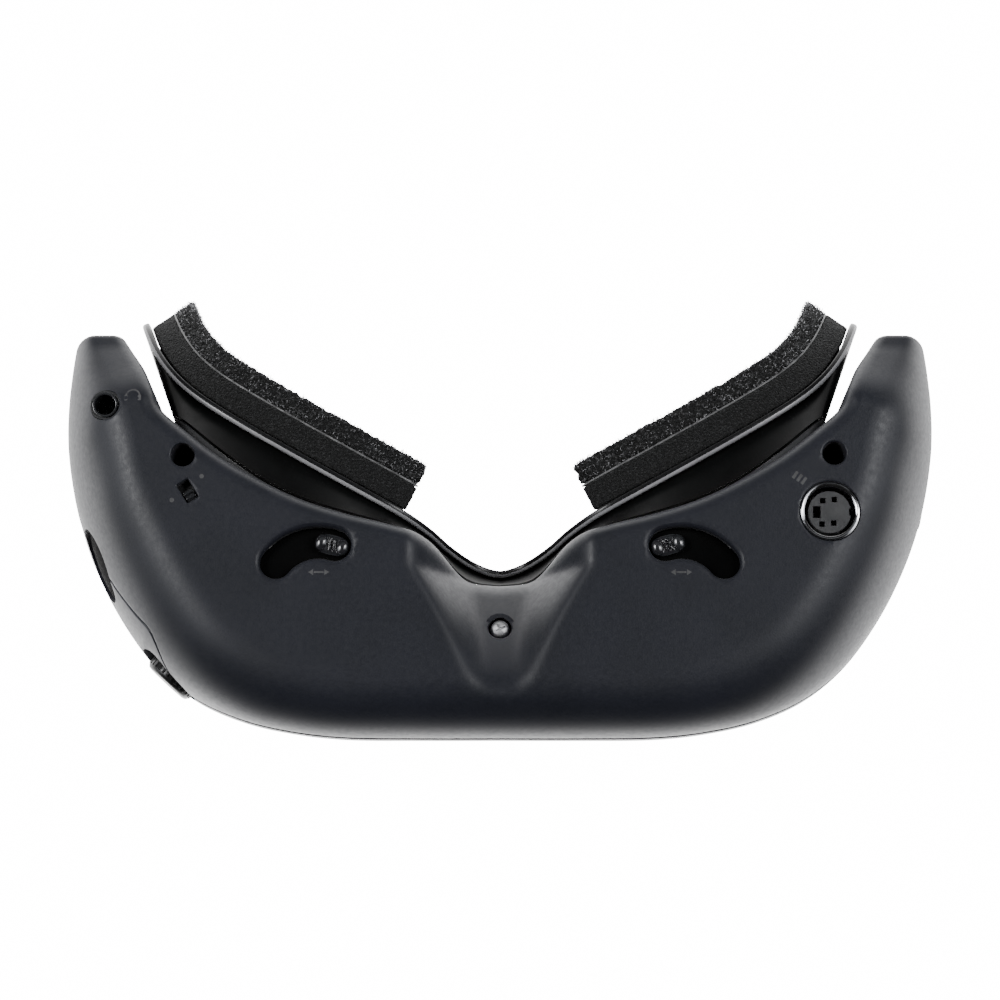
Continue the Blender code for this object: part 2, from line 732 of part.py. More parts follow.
def make_faceplate():
    rows = []
    for place in steps(0.0, 36.0, 54)[:-1]:
        nose = 1 - smooth(2.6, 4.0, min(place, 36.0 - place))
        width = mix(PAD_INSETS[-1] + 0.9, 3.6, nose)
        insets = [inset * width / (PAD_INSETS[-1] + 0.9) for inset in PAD_INSETS]
        edge_x, edge_z = outline_at(FRAME_OUTLINE, place)
        core_x, core_z = inset_at(FRAME_OUTLINE, place, FLANGE)
        front = rear_line(edge_x, edge_z) + lip_reach(edge_x) + GAP + 0.3
        rows.append(
            [flange_point(place, inset, 0.0) for inset in (0.0, *insets, width)]
            + [flange_point(place, inset, -FLANGE) for inset in (width, insets[2], insets[1])]
            + [(core_x, front, core_z), (edge_x, front, edge_z), flange_point(place, 0.0, -FLANGE)]
        )
    loft("faceplate", rows, GLOSS, ring=True, closed=True)


def pad_rows(side, near, far):
    """A C-shaped layer of a pad, between two distances from the flange."""
    rows = []
    for place in steps(PAD_START, PAD_END, 24):
        place = place if side > 0 else 36.0 - place
        row = [pad_point(place, inset, near) for inset in PAD_INSETS]
        rows.append(row + [pad_point(place, inset, far) for inset in PAD_INSETS[::-1]])
    return rows


def make_pads():
    middle = FOAM_BASE + GAP
    for side, word in ((1, "left"), (-1, "right")):
        loft(f"foam_base_{word}", pad_rows(side, PAD_GAP, FOAM_BASE), FOAM_DENSE, closed=True, ends=True)
        rows = pad_rows(side, middle, middle + FOAM_FACE)
        loft(f"foam_face_{word}", rows, FOAM_SOFT, closed=True, ends=True)


# The optics


def make_optics(side, word):
    x = side * EYE_X
    z = EYE_HEIGHT
    length = CARRIAGE_REAR - CARRIAGE_FRONT
    front = (x, CARRIAGE_FRONT, z)
    tube = cylinder(f"optic_carriage_{word}", front, (0, 1, 0), TUBE_RADIUS, length, KEYS, 28)
    rod_low, rod_high = z - ROD_RISE, z + ROD_RISE
    join(tube, box(f"lug_top_{word}", (x - 4, -19.0, z + 9), (x + 4, -13.0, rod_high + 2.6)))
    join(tube, box(f"column_{word}", (x - 4, -19.0, 7.0), (x + 4, CARRIAGE_REAR - 0.2, z - 9)))
    start = (x, CARRIAGE_FRONT - 5, z)
    cut(tube, cylinder(f"bore_{word}", start, (0, 1, 0), 10.4, length + 10, sides=28))
    for height in (rod_low, rod_high):
        start = (x - 8, ROD_Y, height)
        cut(tube, cylinder(f"hole_{word}_{height:.0f}", start, (1, 0, 0), ROD_RADIUS + FIT, 16, sides=20))
    pin_x = side * (LEVER_X - EYE_TRAVEL / 2)
    half = PIN_RADIUS + PIN_PLAY
    cut(tube, box(f"crank_slot_{word}", (pin_x - half, -14.2, 5.0), (pin_x + half, -8.0, 11.2)))
    lens_place = Matrix.Translation((x, CARRIAGE_REAR - 2.8, z)) @ Matrix.Rotation(-math.pi / 2, 4, "X")
    turned(
        f"eyepiece_lens_{word}",
        [(0.0, 2.3), (4.0, 2.1), (7.5, 1.4), (10.1, 0.5), (10.1, -1.3), (6.0, -1.9), (0.0, -2.2)],
        GLASS, lens_place,
    )
    box(f"display_panel_{word}", (x - 9, -24.4, z - 7), (x + 9, -22.8, z + 7), SCREEN)
    board = rounded(10.5, 9.5, 1.0, (x, z), corner=2)
    stand = Matrix.Rotation(math.pi / 2, 4, "X")
    prism(f"display_board_{word}", board, 24.7, 25.9, BOARD, stand)


def make_lever(side, word):
    pivot = (side * LEVER_X, LEVER_Y)
    plate = cylinder(f"ipd_lever_{word}", (*pivot, 2.35), UP, 12.8, 1.1, KEYS, 32)
    knob_angle = on_side(side, LEVER_REST)
    knob_at = polar(pivot, LEVER_RADIUS, knob_angle)
    outline = rounded(3.1, 1.8, 1.7, knob_at, knob_angle + math.pi / 2)
    join(plate, prism(f"knob_{word}", outline, 0.4, 2.6))
    pin_at = (side * (LEVER_X - EYE_TRAVEL / 2), LEVER_Y + math.cos(LEVER_TURN / 2) * CRANK_RADIUS)
    join(plate, cylinder(f"crank_pin_{word}", (*pin_at, 3.0), UP, PIN_RADIUS, 7.4, sides=16))
    cut(plate, cylinder(f"lever_bore_{word}", (*pivot, 0.0), UP, POST_RADIUS + FIT, 8.0))
    set_pivot(plate, (*pivot, 2.35))


def make_rods():
    for name, z in (("rod_lower", EYE_HEIGHT - ROD_RISE), ("rod_upper", EYE_HEIGHT + ROD_RISE)):
        cylinder(name, (-51.0, ROD_Y, z), (1, 0, 0), ROD_RADIUS, 102.0, STEEL, 20)
    for side, word in ((1, "left"), (-1, "right")):
        inner, outer = sorted((side * 48.5, side * 50.7))
        bracket = box(f"rod_bracket_{word}", (inner, -19.5, 2.3), (outer, -12.5, 58.0), MATTE)
        for z in (EYE_HEIGHT - ROD_RISE, EYE_HEIGHT + ROD_RISE):
            start = (inner - 2.0, ROD_Y, z)
            cut(bracket, cylinder(f"seat_{word}_{z:.0f}", start, (1, 0, 0), ROD_RADIUS + FIT, 7, sides=20))


# Electronics and sockets


def facing_down(place, z):
    """The matrix of a frame whose Z points down out of the underside."""
    return Matrix.Translation((*place, z)) @ Matrix.Rotation(math.pi, 4, "X")


def make_boards():
    stand = Matrix.Rotation(math.pi / 2, 4, "X")
    prism("main_board", rounded(40.0, 14.5, 2.0, (0.0, 28.0), corner=3), 27.4, 28.8, BOARD, stand)
    box("receiver_module", (-44.0, -15.5, 59.5), (-24.0, -8.0, 65.8), STEEL)


def make_headphone_jack():
    turned(
        "headphone_jack",
        [(0.0, -8.0), (1.85, -8.0), (1.85, 0.0), (2.5, 0.0), (2.6, -0.2), (2.6, -11.0), (0.0, -11.0)],
        KEYS, facing_down(JACK, skin_height(*JACK) + 0.2),
    )


def square_cutter(name, x, y, half_x, half_y):
    return box(name, (x - half_x, y - half_y, 0.0), (x + half_x, y + half_y, 5.0))


def make_data_socket():
    turned(
        "data_socket_shell",
        [(4.55, -9.0), (4.55, -0.25), (4.8, 0.0), (5.2, 0.0), (5.4, -0.3), (5.4, -9.0), (4.55, -9.0)],
        STEEL, facing_down(DATA_SOCKET, 0.15),
    )
    x, y = DATA_SOCKET
    core = cylinder("data_socket_core", (x, y, 1.0), UP, 4.2, 8.0, INSULATOR, 24)
    for index, (right, back) in enumerate(PIN_HOLES):
        cut(core, square_cutter(f"pin_hole_{index}", x - right, y + back, 0.5, 0.5))
    cut(core, square_cutter("socket_key", x + 2.3, y, 0.7, 1.1))


def make_mode_switch():
    prism("mode_switch_body", rounded(3.0, 2.1, 0.3, MODE_SWITCH, MODE_ANGLE, 2), 2.3, 6.0, STEEL)
    rest = polar(MODE_SWITCH, -MODE_TRAVEL / 2, MODE_ANGLE)
    knob = prism("mode_switch_knob", rounded(1.0, 0.95, 0.2, rest, MODE_ANGLE, 2), 0.5, 1.95, KEYS)
    set_pivot(knob, (*rest, 1.0))


def make_screws():
    for name, place, depth in SCREWS:
        _, seat, _ = screw_heights(place, depth)
        turned(
            f"case_screw_{name}",
            [(0.0, 1.5), (0.9, 1.45), (1.6, 0.9), (1.75, 0.0), (1.0, 0.0), (1.0, -13.0), (0.0, -14.0)],
            STEEL, facing_down(place, seat - 0.2), 20,
        )


def make_keys():
    for name, place in (("side_key_cup", SIDE_KEY), ("menu_stick_cup", MENU_STICK)):
        turned(
            name,
            [(6.9, -4.0), (8.0, -4.0), (8.0, -7.6), (0.0, -7.6), (0.0, -6.4), (6.9, -6.4), (6.9, -4.0)],
            MATTE, wall_place(*place), 28,
        )
    turned(
        "side_key",
        [(0.0, -0.5), (4.8, -0.6), (6.1, -0.9), (KEY_RADIUS, -1.4), (KEY_RADIUS, -3.2), (2.0, -3.2),
         (2.0, -5.0), (0.0, -5.0)],
        KEYS, wall_place(*SIDE_KEY), 28,
    )
    turned(
        "menu_stick",
        [(0.0, 0.8), (3.6, 0.7), (4.6, 0.3), (STICK_RADIUS, -0.2), (STICK_RADIUS, -1.8), (2.2, -2.1),
         (2.2, -5.0), (0.0, -5.0)],
        KEYS, wall_place(*MENU_STICK), 28,
    )
    power = prism("power_key", rounded(1.6, 3.3, 1.5), -3.0, 0.8, KEYS, key_frame(POWER_KEY))
    set_pivot(power, key_frame(POWER_KEY).to_translation())
    pin = [(0.0, 0.8), (0.7, 0.7), (0.9, 0.3), (0.9, -3.0), (0.0, -3.0)]
    turned("menu_key", pin, KEYS, wall_place(*MENU_KEY), 16)
    turned(
        "power_socket",
        [(0.0, -8.0), (1.9, -8.0), (1.9, -0.1), (2.8, -0.1), (2.9, -0.3), (2.9, -11.0), (0.0, -11.0)],
        KEYS, wall_place(*POWER_SOCKET),
    )


make_bottom_shell()
make_top_shell()
make_front_cover()
make_eyepiece_frame()
make_faceplate()
make_pads()
for hand, called in ((1, "left"), (-1, "right")):
    make_optics(hand, called)
    make_lever(hand, called)
make_rods()
make_boards()
make_headphone_jack()
make_data_socket()
make_mode_switch()
make_screws()
make_keys()
for drawn in (*PARTS.objects, *TOOLS.objects):
    drawn.location.y -= MIDDLE_Y * MM
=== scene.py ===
"""FPV goggles in a pale studio, seen from below.

Every visible piece is made again in finer mesh code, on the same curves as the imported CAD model, and
takes that model's place. Lengths are in millimetres until a mesh is made, and MM turns them into metres.
"""

import math
import random

import bmesh
import bpy
import numpy as np
from mathutils import Matrix, Vector


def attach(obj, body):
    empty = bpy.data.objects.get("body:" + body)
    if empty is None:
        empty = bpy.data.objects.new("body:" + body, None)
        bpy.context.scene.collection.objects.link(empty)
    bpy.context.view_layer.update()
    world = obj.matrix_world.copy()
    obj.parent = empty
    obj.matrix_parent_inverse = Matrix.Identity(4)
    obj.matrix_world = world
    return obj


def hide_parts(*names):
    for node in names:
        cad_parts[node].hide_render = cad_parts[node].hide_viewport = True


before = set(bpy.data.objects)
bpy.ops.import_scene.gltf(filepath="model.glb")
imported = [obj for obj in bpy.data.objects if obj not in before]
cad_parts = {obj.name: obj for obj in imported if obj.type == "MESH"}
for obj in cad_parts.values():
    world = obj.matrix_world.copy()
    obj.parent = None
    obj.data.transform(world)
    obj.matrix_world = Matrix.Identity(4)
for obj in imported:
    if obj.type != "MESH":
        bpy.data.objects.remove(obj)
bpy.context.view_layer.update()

MM = 0.001
MIDDLE_Y = 3.5  # shapes are drawn with the middle of their box here, and then moved back by it
UP = (0.0, 0.0, 1.0)

# Body, as the CAD model has it
TOP = 70.0
WALL = 1.8
GAP = 0.3
LOW_POWER = 2.15
REAR_ROLL = 3.0
RIM = 0.8
SEAM_DROP = 0.8
COVER_TOP = 57.0
COVER_LEFT, COVER_RIGHT = 5.0, 7.25
ARM_START, ARM_END = 9.5, 13.0
ARM_LIFT, ARM_DROP = 10.0, 14.0
ARM_TIP_Y = 35.0

# outer x, outer y, height of the widest line, lower rounding, upper rounding, rear x, rear y
STATIONS = (
    (0.0, -40.4, 11.0, 11.0, 26.0, 0.0, -10.8),
    (14.0, -40.4, 11.0, 11.0, 26.0, 6.4, -9.7),
    (28.0, -40.2, 11.0, 11.0, 25.0, 12.6, -4.8),
    (38.0, -39.0, 11.5, 12.0, 23.0, 20.0, -2.4),
    (47.0, -36.6, 13.0, 13.0, 21.0, 28.0, -0.4),
    (56.0, -32.0, 17.0, 14.0, 19.0, 36.0, 2.2),
    (64.0, -25.0, 22.0, 16.0, 17.0, 43.5, 5.8),
    (71.0, -15.3, 27.0, 17.0, 15.0, 51.0, 10.2),
    (76.2, -5.2, 31.5, 17.0, 13.0, 57.5, 15.2),
    (79.6, 4.5, 34.0, 17.0, 12.0, 61.9, 19.2),
    (81.4, 14.5, 34.0, 14.0, 11.0, 63.4, 23.0),
    (81.7, 23.0, 34.0, 11.0, 9.0, 65.2, 27.2),
    (81.1, 30.5, 34.0, 7.5, 7.0, 67.9, 31.6),
    (80.4, 35.0, 34.0, 5.5, 5.5, 70.0, 35.0),
)
BROW_Y, BROW_SLOPE = -9.6, 0.33
BELT_DIP = 14.0  # how far the seam drops beside the left cover end
NOSE_DEPTH = 17.0
NOSE_CLIMB, NOSE_SPREAD = 1.3, 1.4  # how late it gets deep and wide on its way back
NOSE_FRONT, NOSE_REAR = -34.0, -10.0
NOSE_FLOOR, NOSE_SIDE = (1.5, 4.5), (6.0, 17.0)  # half widths at its bottom and its mouth: front, rear

# The faceplate's flange in plan: two slopes that meet in a round bow, curve a little and then sweep
# back at the temples
BOW_Y, BOW_SLOPE, BOW_ROUND = -7.5, 0.505, 3.0
CURVE, CURVE_POWER = 4.0, 2.5
SWEEP, SWEEP_POWER = 9.5, 14
SWEEP_X = 66.0  # where the curve and the sweep have added CURVE and SWEEP
PAD_SLOPE = 1.5  # the pads stand square to the flange up to about this slope, and lean no further in

# Faceplate and rear opening: half outlines as x, z from the nose arch round to the brow
FACE_OUTLINE = (
    (0.0, 28.5), (5.0, 27.0), (9.0, 22.0), (12.5, 14.5), (17.5, 9.2), (26.0, 7.4), (40.0, 7.0),
    (52.0, 8.5), (60.4, 12.8), (65.5, 20.5), (67.1, 30.5), (67.1, 43.5), (65.5, 53.0), (60.4, 60.6),
    (51.0, 64.2), (38.0, 65.6), (22.0, 66.0), (8.0, 66.0), (0.0, 66.0),
)
FRAME_OUTLINE = (
    (0.0, 22.8), (5.0, 22.2), (9.2, 18.2), (13.2, 12.2), (18.5, 7.2), (26.0, 4.9), (40.0, 4.6),
    (51.0, 4.8), (58.0, 6.6), (60.2, 13.0), (60.8, 24.0), (60.8, 46.0), (60.2, 57.0), (58.0, 63.4),
    (51.0, 65.2), (38.0, 65.4), (22.0, 65.4), (8.0, 65.4), (0.0, 65.4),
)
RING = 36.0  # places round either outline
FRAME_MIDDLE, FRAME_WALL = 44.0, 1.2
FOAM_BASE, FOAM_FACE = 5.2, 4.1
PAD_INSETS = (1.3, 4.6, 8.0, 11.3)
PAD_START, PAD_END = 3.85, 15.9
FLANGE = 1.4

# Optics and levers
EYE_HEIGHT, EYE_X, EYE_TRAVEL = 38.0, 30.0, 5.0
TUBE_RADIUS = 12.0
CARRIAGE_FRONT, CARRIAGE_REAR = -22.5, -9.0
ROD_RADIUS, ROD_RISE, ROD_Y = 1.25, 16.5, -16.0
LEVER_X, LEVER_Y = 32.6, -16.0
LEVER_RADIUS, LEVER_SLOT = 9.8, 5.8
LEVER_REST, LEVER_TURN = math.radians(104.0), math.radians(-62.0)
SLOT_MARGIN = 0.06
KNOB_HALF, KNOB_FOOT = (3.1, 1.8), 1.35  # half length and width, and the z where its relief starts
KNOB_POWER = 0.75  # of its superellipse outline
CRANK_RADIUS = EYE_TRAVEL / (2 * math.sin(-LEVER_TURN / 2))

# Sockets, screws and keys
JACK = (71.7, 19.5)
DATA_SOCKET = (-59.4, -0.5)
PIN_HOLES = ((-1.2, 2.1), (0.9, 2.3), (-1.4, -2.2), (0.7, -2.0))
MODE_SWITCH = (56.3, 3.2)
MODE_ANGLE = math.radians(58.0)
MODE_TRAVEL = 1.5
SCREWS = (("nose", (0.0, -20.5), 2.4), ("left", (57.3, 9.9), 8.5), ("right", (-60.4, 10.2), 8.5))
WELL_RADIUS = 2.15
SEAT_DEPTH = 2.4
SIDE_KEY, MENU_STICK = (7.75, 19.5), (5.6, 20.5)  # station, height
KEY_HOLE, KEY_RADIUS, STICK_RADIUS = 7.3, 6.5, 5.0
POWER_KEY, MENU_KEY, POWER_SOCKET = (-9.3, 40.5), (-10.25, 40.5), (-8.2, 46.0)
STRAP_SLOT_LOW, STRAP_SLOT_HIGH = (66.0, 26.8, 21.0), (84.0, 31.8, 47.5)

EDGE = 0.35  # rounding of the moulded edges
LEDGE = 1.5  # how far the flange stands out past the faceplate's skirt
LIP_ROUND = 0.6  # rounding of the flange's lower edge
TIP_ROUND = 1.0  # rounding of the arms' ends
TIP_START = 12.4  # station where the rounding's close ribs begin


# Curves that the body follows, as in the CAD model


def smooth(low, high, value):
    """0 below low, 1 above high, and an even S between them."""
    part = min(1.0, max(0.0, (value - low) / (high - low)))
    return part * part * (3 - 2 * part)


def mix(first, second, part):
    return first + (second - first) * part


def bisected(low, high, rounds, too_low):
    """The last low and high after halving towards where a test stops holding."""
    for _ in range(rounds):
        middle = (low + high) / 2
        low, high = (middle, high) if too_low(middle) else (low, middle)
    return low, high


def steps(low, high, count):
    return [mix(low, high, index / count) for index in range(count + 1)]


def along(points, place):
    """The point at this place, counted in points, on the smooth curve through them."""
    last = len(points) - 1
    place = min(max(place, 0.0), float(last))
    index = min(int(place), last - 1)
    part = place - index
    before, here = points[max(index - 1, 0)], points[index]
    after, beyond = points[index + 1], points[min(index + 2, last)]
    found = []
    for p0, p1, p2, p3 in zip(before, here, after, beyond):
        slope_in = (p2 - p0) / 2
        slope_out = (p3 - p1) / 2
        bend = 3 * (p2 - p1) - 2 * slope_in - slope_out
        twist = 2 * (p1 - p2) + slope_in + slope_out
        found.append(p1 + slope_in * part + bend * part**2 + twist * part**3)
    return found


def nose_rise(x, y):
    back = min(1.0, max(0.0, (y - NOSE_FRONT) / (NOSE_REAR - NOSE_FRONT)))
    spread = back**NOSE_SPREAD
    floor, side = mix(*NOSE_FLOOR, spread), mix(*NOSE_SIDE, spread)
    return NOSE_DEPTH * back**NOSE_CLIMB * (1 - smooth(floor, side, abs(x)))


def brow_line(x, rear_y):
    return mix(BROW_Y + BROW_SLOPE * x, rear_y, smooth(12.0, 22.0, x))


def rounding(radius, height, power, angle):
    """(inset, rise) on a superellipse corner."""
    inset = radius * (1 - max(math.cos(angle), 0.0) ** (2 / power))
    return inset, height * math.sin(angle) ** (2 / power)


def corner_angle(part, power):
    return math.asin(min(1.0, max(0.0, part)) ** (power / 2))


def belt_drop(station):
    """How far the seam between the shells dips here, on the left side only."""
    return BELT_DIP * smooth(COVER_LEFT, 6.3, station) * (1 - smooth(7.6, 10.2, station))


class Rib:
    """The body's section at a station, negative on the right side."""

    def __init__(self, station):
        self.side = -1 if station < 0 else 1
        self.at = abs(station)
        outer_x, outer_y, self.widest, self.low, self.high, rear_x, rear_y = along(STATIONS, self.at)
        thin = smooth(ARM_START, ARM_END, self.at)
        self.outer = Vector((outer_x, outer_y))
        self.rear = Vector((rear_x, rear_y))
        self.brow = Vector((rear_x, brow_line(rear_x, rear_y)))
        self.floor = ARM_LIFT * thin
        self.roof = TOP - ARM_DROP * thin
        self.high_power = mix(1.5, 2.2, smooth(3.0, 8.0, self.at))
        self.roll = mix(REAR_ROLL, 2.0, thin)
        self.closed = smooth(8.95, 9.35, self.at)
        self.belt = self.widest - SEAM_DROP - belt_drop(station)

    def point(self, end, inset, z):
        place = self.outer + (end - self.outer).normalized() * inset
        return Vector((place.x * self.side, place.y, z))

    def corner(self, end, radius, height, power, angles):
        """Points round the corner above the widest line, or below it where the height is negative."""
        made = []
        for angle in angles:
            inset, rise = rounding(radius, height, power, angle)
            made.append(self.point(end, inset, self.widest + rise))
        return made

    def lower(self, start, last, count):
        """The lower corner's points from this height to this angle."""
        depth = self.widest - self.floor
        first = corner_angle((self.widest - start) / depth, LOW_POWER)
        return self.corner(self.rear, self.low, -depth, LOW_POWER, steps(first, last, count))

    def front(self, low, high, count):
        """The outer wall's points between two heights at or above its widest line."""
        height = self.roof - self.widest
        first, last = (corner_angle((z - self.widest) / height, self.high_power) for z in (low, high))
        return self.corner(self.brow, self.high, height, self.high_power, steps(first, last, count))

    def back(self, end, start, level, turn, seam, flat_count, round_count):
        """Points across the bottom (turn 1) or the top (turn -1), round its rear edge and on to the rim."""
        width = (end - self.outer).length
        across = steps(start, width - self.roll, flat_count)[1:-1]
        made = [self.point(end, inset, level) for inset in across]
        for angle in steps(0.0, math.pi / 2, round_count):
            inset = width - self.roll * (1 - math.sin(angle))
            made.append(self.point(end, inset, level + turn * self.roll * (1 - math.cos(angle))))
        rim = mix(level + turn * (self.roll + RIM), seam, self.closed)
        made += [self.point(end, width, z) for z in steps(level + turn * self.roll, rim, 5)[1:]]
        return made

    def under(self):
        """The underside's points, from the belt down, across and up to the rear rim."""
        seam = self.belt - GAP / 2
        made = self.lower(seam, math.pi / 2, 22)
        made += self.back(self.rear, self.low, self.floor, 1, seam, 22, 9)
        for place in made:
            place.z += nose_rise(place.x, place.y)
        return made

    def over(self):
        """The upper side's points, from the belt up, across and down to the rear rim."""
        seam = self.belt + GAP / 2
        made = self.lower(seam, 0.0, 5)[:-1] + self.front(self.widest, self.roof, 26)
        return made + self.back(self.brow, self.high, self.roof, -1, seam, 12, 8)


def wall_point(station, z):
    rib = Rib(station)
    if z >= rib.widest:
        height, power, radius = rib.roof - rib.widest, rib.high_power, rib.high
        end, part = rib.brow, (z - rib.widest) / height
    else:
        height, power, radius = rib.widest - rib.floor, LOW_POWER, rib.low
        end, part = rib.rear, (rib.widest - z) / height
    inset, _ = rounding(radius, height, power, corner_angle(part, power))
    return rib.point(end, inset, z)


def wall_place(station, z):
    """The matrix of a frame on the outer wall: Z points out of the body, and Y up along the wall."""
    side = -1 if station < 0 else 1
    ahead = wall_point(station + 0.1, z) - wall_point(station - 0.1, z)
    up = (wall_point(station, z + 0.5) - wall_point(station, z - 0.5)).normalized()
    out = up.cross(ahead).normalized() * side
    out = out if out.x * side > 0 else -out
    across = up.cross(out).normalized()
    turned_frame = Matrix((across, out.cross(across), out)).transposed().to_4x4()
    return Matrix.Translation(wall_point(station, z)) @ turned_frame


def skin_height(x, y):
    """z of the underside's outer skin at this place."""
    place = Vector((abs(x), y))

    def short_of_place(station):
        rib = Rib(station)
        return (rib.rear - rib.outer).cross(place - rib.outer) < 0

    rib = Rib(bisected(0.0, ARM_END, 22, short_of_place)[0])
    part = min(1.0, (place - rib.outer).length / rib.low)
    angle = math.acos((1 - part) ** (LOW_POWER / 2))
    fall = rounding(rib.low, rib.widest - rib.floor, LOW_POWER, angle)[1]
    return rib.widest - fall + nose_rise(x, y)


def face_line(x):
    part = abs(x) / SWEEP_X
    bow = BOW_Y + BOW_SLOPE * math.hypot(x, BOW_ROUND)
    return bow + CURVE * part**CURVE_POWER + SWEEP * part**SWEEP_POWER


def face_slope(x):
    return (face_line(x + 0.2) - face_line(x - 0.2)) / 0.4


def rear_line(x, z):
    """y of the body's rear edge at this x and height, on the cheeks or on the brow."""
    x = abs(x)
    station = bisected(0.0, ARM_END, 22, lambda station: along(STATIONS, station)[5] < x)[0]
    cheek = along(STATIONS, station)[6]
    return mix(cheek, brow_line(x, cheek), smooth(24.0, 50.0, z))


def outline_at(outline, place):
    half = len(outline) - 1
    place %= 2 * half
    mirrored = place > half
    x, z = along(outline, 2 * half - place if mirrored else place)
    return (-x if mirrored else x), z


def inset_at(outline, place, inset):
    x0, z0 = outline_at(outline, place - 0.15)
    x1, z1 = outline_at(outline, place + 0.15)
    x, z = outline_at(outline, place)
    run = Vector((x1 - x0, z1 - z0)).normalized()
    return x - run.y * inset, z + run.x * inset


def lip_reach(x):
    return 0.3 + 1.5 * smooth(40.0, 57.0, abs(x))


def frame_depth(x):
    return mix(3.5, 4.5, smooth(10.0, 16.0, abs(x))) - 3.8 * smooth(42.0, 52.0, abs(x))


def flange_place(place, inset):
    """(x, z) on the flange, this far along its face from its edge."""
    x, z = outline_at(FACE_OUTLINE, place)
    inward = Vector(inset_at(FACE_OUTLINE, place, 1.0)) - Vector((x, z))
    for _ in range(8):
        step = inset / 8 / math.hypot(1.0, face_slope(x) * inward.x)
        x += inward.x * step
        z += inward.y * step
    return x, z


def stood_off(x, z, slope, out):
    """The point this far from the flange's face at x and z, square to a line of this slope in plan."""
    square = Vector((-slope, 1.0)).normalized()
    return Vector((x + square.x * out, face_line(x) + square.y * out, z))


def flange_point(place, inset, out):
    """A point above (out) or below the flange's face."""
    x, z = flange_place(place, inset)
    return stood_off(x, z, face_slope(x), out)


def pad_point(place, inset, out):
    """A point of a pad, this far from the flange."""
    x, z = flange_place(place, inset)
    return stood_off(x, z, PAD_SLOPE * math.tanh(face_slope(x) / PAD_SLOPE), out)


def polar(centre, radius, angle):
    return (centre[0] + radius * math.cos(angle), centre[1] + radius * math.sin(angle))


def on_side(side, angle):
    return angle if side > 0 else math.pi - angle


def circle(centre, radius, count=48):
    return [polar(centre, radius, 2 * math.pi * index / count) for index in range(count)]


def rounded(half_x, half_y, radius, centre=(0.0, 0.0), angle=0.0, corner=8):
    """A rectangle's outline with round corners, turned about its centre."""
    made = []
    for quarter, (sx, sy) in enumerate(((1, 1), (-1, 1), (-1, -1), (1, -1))):
        for step in range(corner + 1):
            bend = math.pi / 2 * (quarter + step / corner)
            x = sx * (half_x - radius) + radius * math.cos(bend)
            y = sy * (half_y - radius) + radius * math.sin(bend)
            turned_x = x * math.cos(angle) - y * math.sin(angle)
            turned_y = x * math.sin(angle) + y * math.cos(angle)
            made.append((centre[0] + turned_x, centre[1] + turned_y))
    return made


def arc_slot(centre, radius, width, first, last, bends=28, ends=14):
    """The outline of a slot that follows an arc, with round ends."""
    made = [polar(centre, radius + width / 2, angle) for angle in steps(first, last, bends)]
    turn = math.copysign(math.pi, last - first)
    end = polar(centre, radius, last)
    made += [polar(end, width / 2, last + turn * part) for part in steps(0.0, 1.0, ends)[1:-1]]
    made += [polar(centre, radius - width / 2, angle) for angle in steps(last, first, bends)]
    start = polar(centre, radius, first)
    made += [
        polar(start, width / 2, first + math.pi + turn * part) for part in steps(0.0, 1.0, ends)[1:-1]
    ]
    return made


def grown(outline, amount):
    """A closed outline moved outwards by this much, whichever way round it runs."""
    points = [Vector(point[:2]) for point in outline]
    count = len(points)
    area = sum(points[i - 1].cross(points[i]) for i in range(count))
    made = []
    for index, point in enumerate(points):
        before, after = point - points[index - 1], points[(index + 1) % count] - point
        run = before.normalized() + after.normalized()
        run.normalize()
        out = Vector((run.y, -run.x)) * math.copysign(1.0, area)
        stretch = max(0.5, abs(run.dot(after.normalized())))
        made.append(point + out * amount / stretch)
    return made


# Mesh helpers


def add_mesh(name, bm, finish=None, turn=32.0):
    """Makes an object from a bmesh in millimetres."""
    bmesh.ops.scale(bm, vec=(MM, MM, MM), verts=bm.verts)
    mesh = bpy.data.meshes.new(name)
    bm.to_mesh(mesh)
    bm.free()
    mesh.shade_smooth()
    mesh.set_sharp_from_angle(angle=math.radians(turn))
    obj = bpy.data.objects.new(name, mesh)
    bpy.context.scene.collection.objects.link(obj)
    if finish:
        mesh.materials.append(finish)
    return obj


def loft(name, rows, finish=None, ring=False, closed=False, ends=False, turn=32.0):
    """A surface through rows of points. ring joins the last row to the first, closed joins each row's
    end to its start, and ends fills the first and last rows."""
    bm = bmesh.new()
    grid = [[bm.verts.new(point) for point in row] for row in rows]
    pairs = list(zip(grid, grid[1:])) + ([(grid[-1], grid[0])] if ring else [])
    for first, second in pairs:
        for index in range(len(first) if closed else len(first) - 1):
            after = (index + 1) % len(first)
            bm.faces.new((first[index], first[after], second[after], second[index]))
    if ends:
        bm.faces.new(grid[0])
        bm.faces.new(grid[-1])
    bmesh.ops.recalc_face_normals(bm, faces=bm.faces)
    return add_mesh(name, bm, finish, turn)


def surface_normals(grid, sign):
    """Unit normals of a grid of points (rows, columns, 3)."""
    normal = np.cross(np.gradient(grid, axis=0), np.gradient(grid, axis=1)) * sign
    return normal / np.maximum(np.linalg.norm(normal, axis=2, keepdims=True), 1e-9)


def edge_columns(edge, beside, normal, radius):
    """Columns that round a grid's edge over, from the wall's thickness out to its skin."""
    inward = beside - edge
    inward /= np.linalg.norm(inward, axis=1, keepdims=True)
    centre = edge + (inward - normal) * radius
    made = []
    for angle in steps(math.pi / 2, 0.0, 4):
        made.append(centre + (normal * math.cos(angle) - inward * math.sin(angle)) * radius)
    return np.stack(made, axis=1)


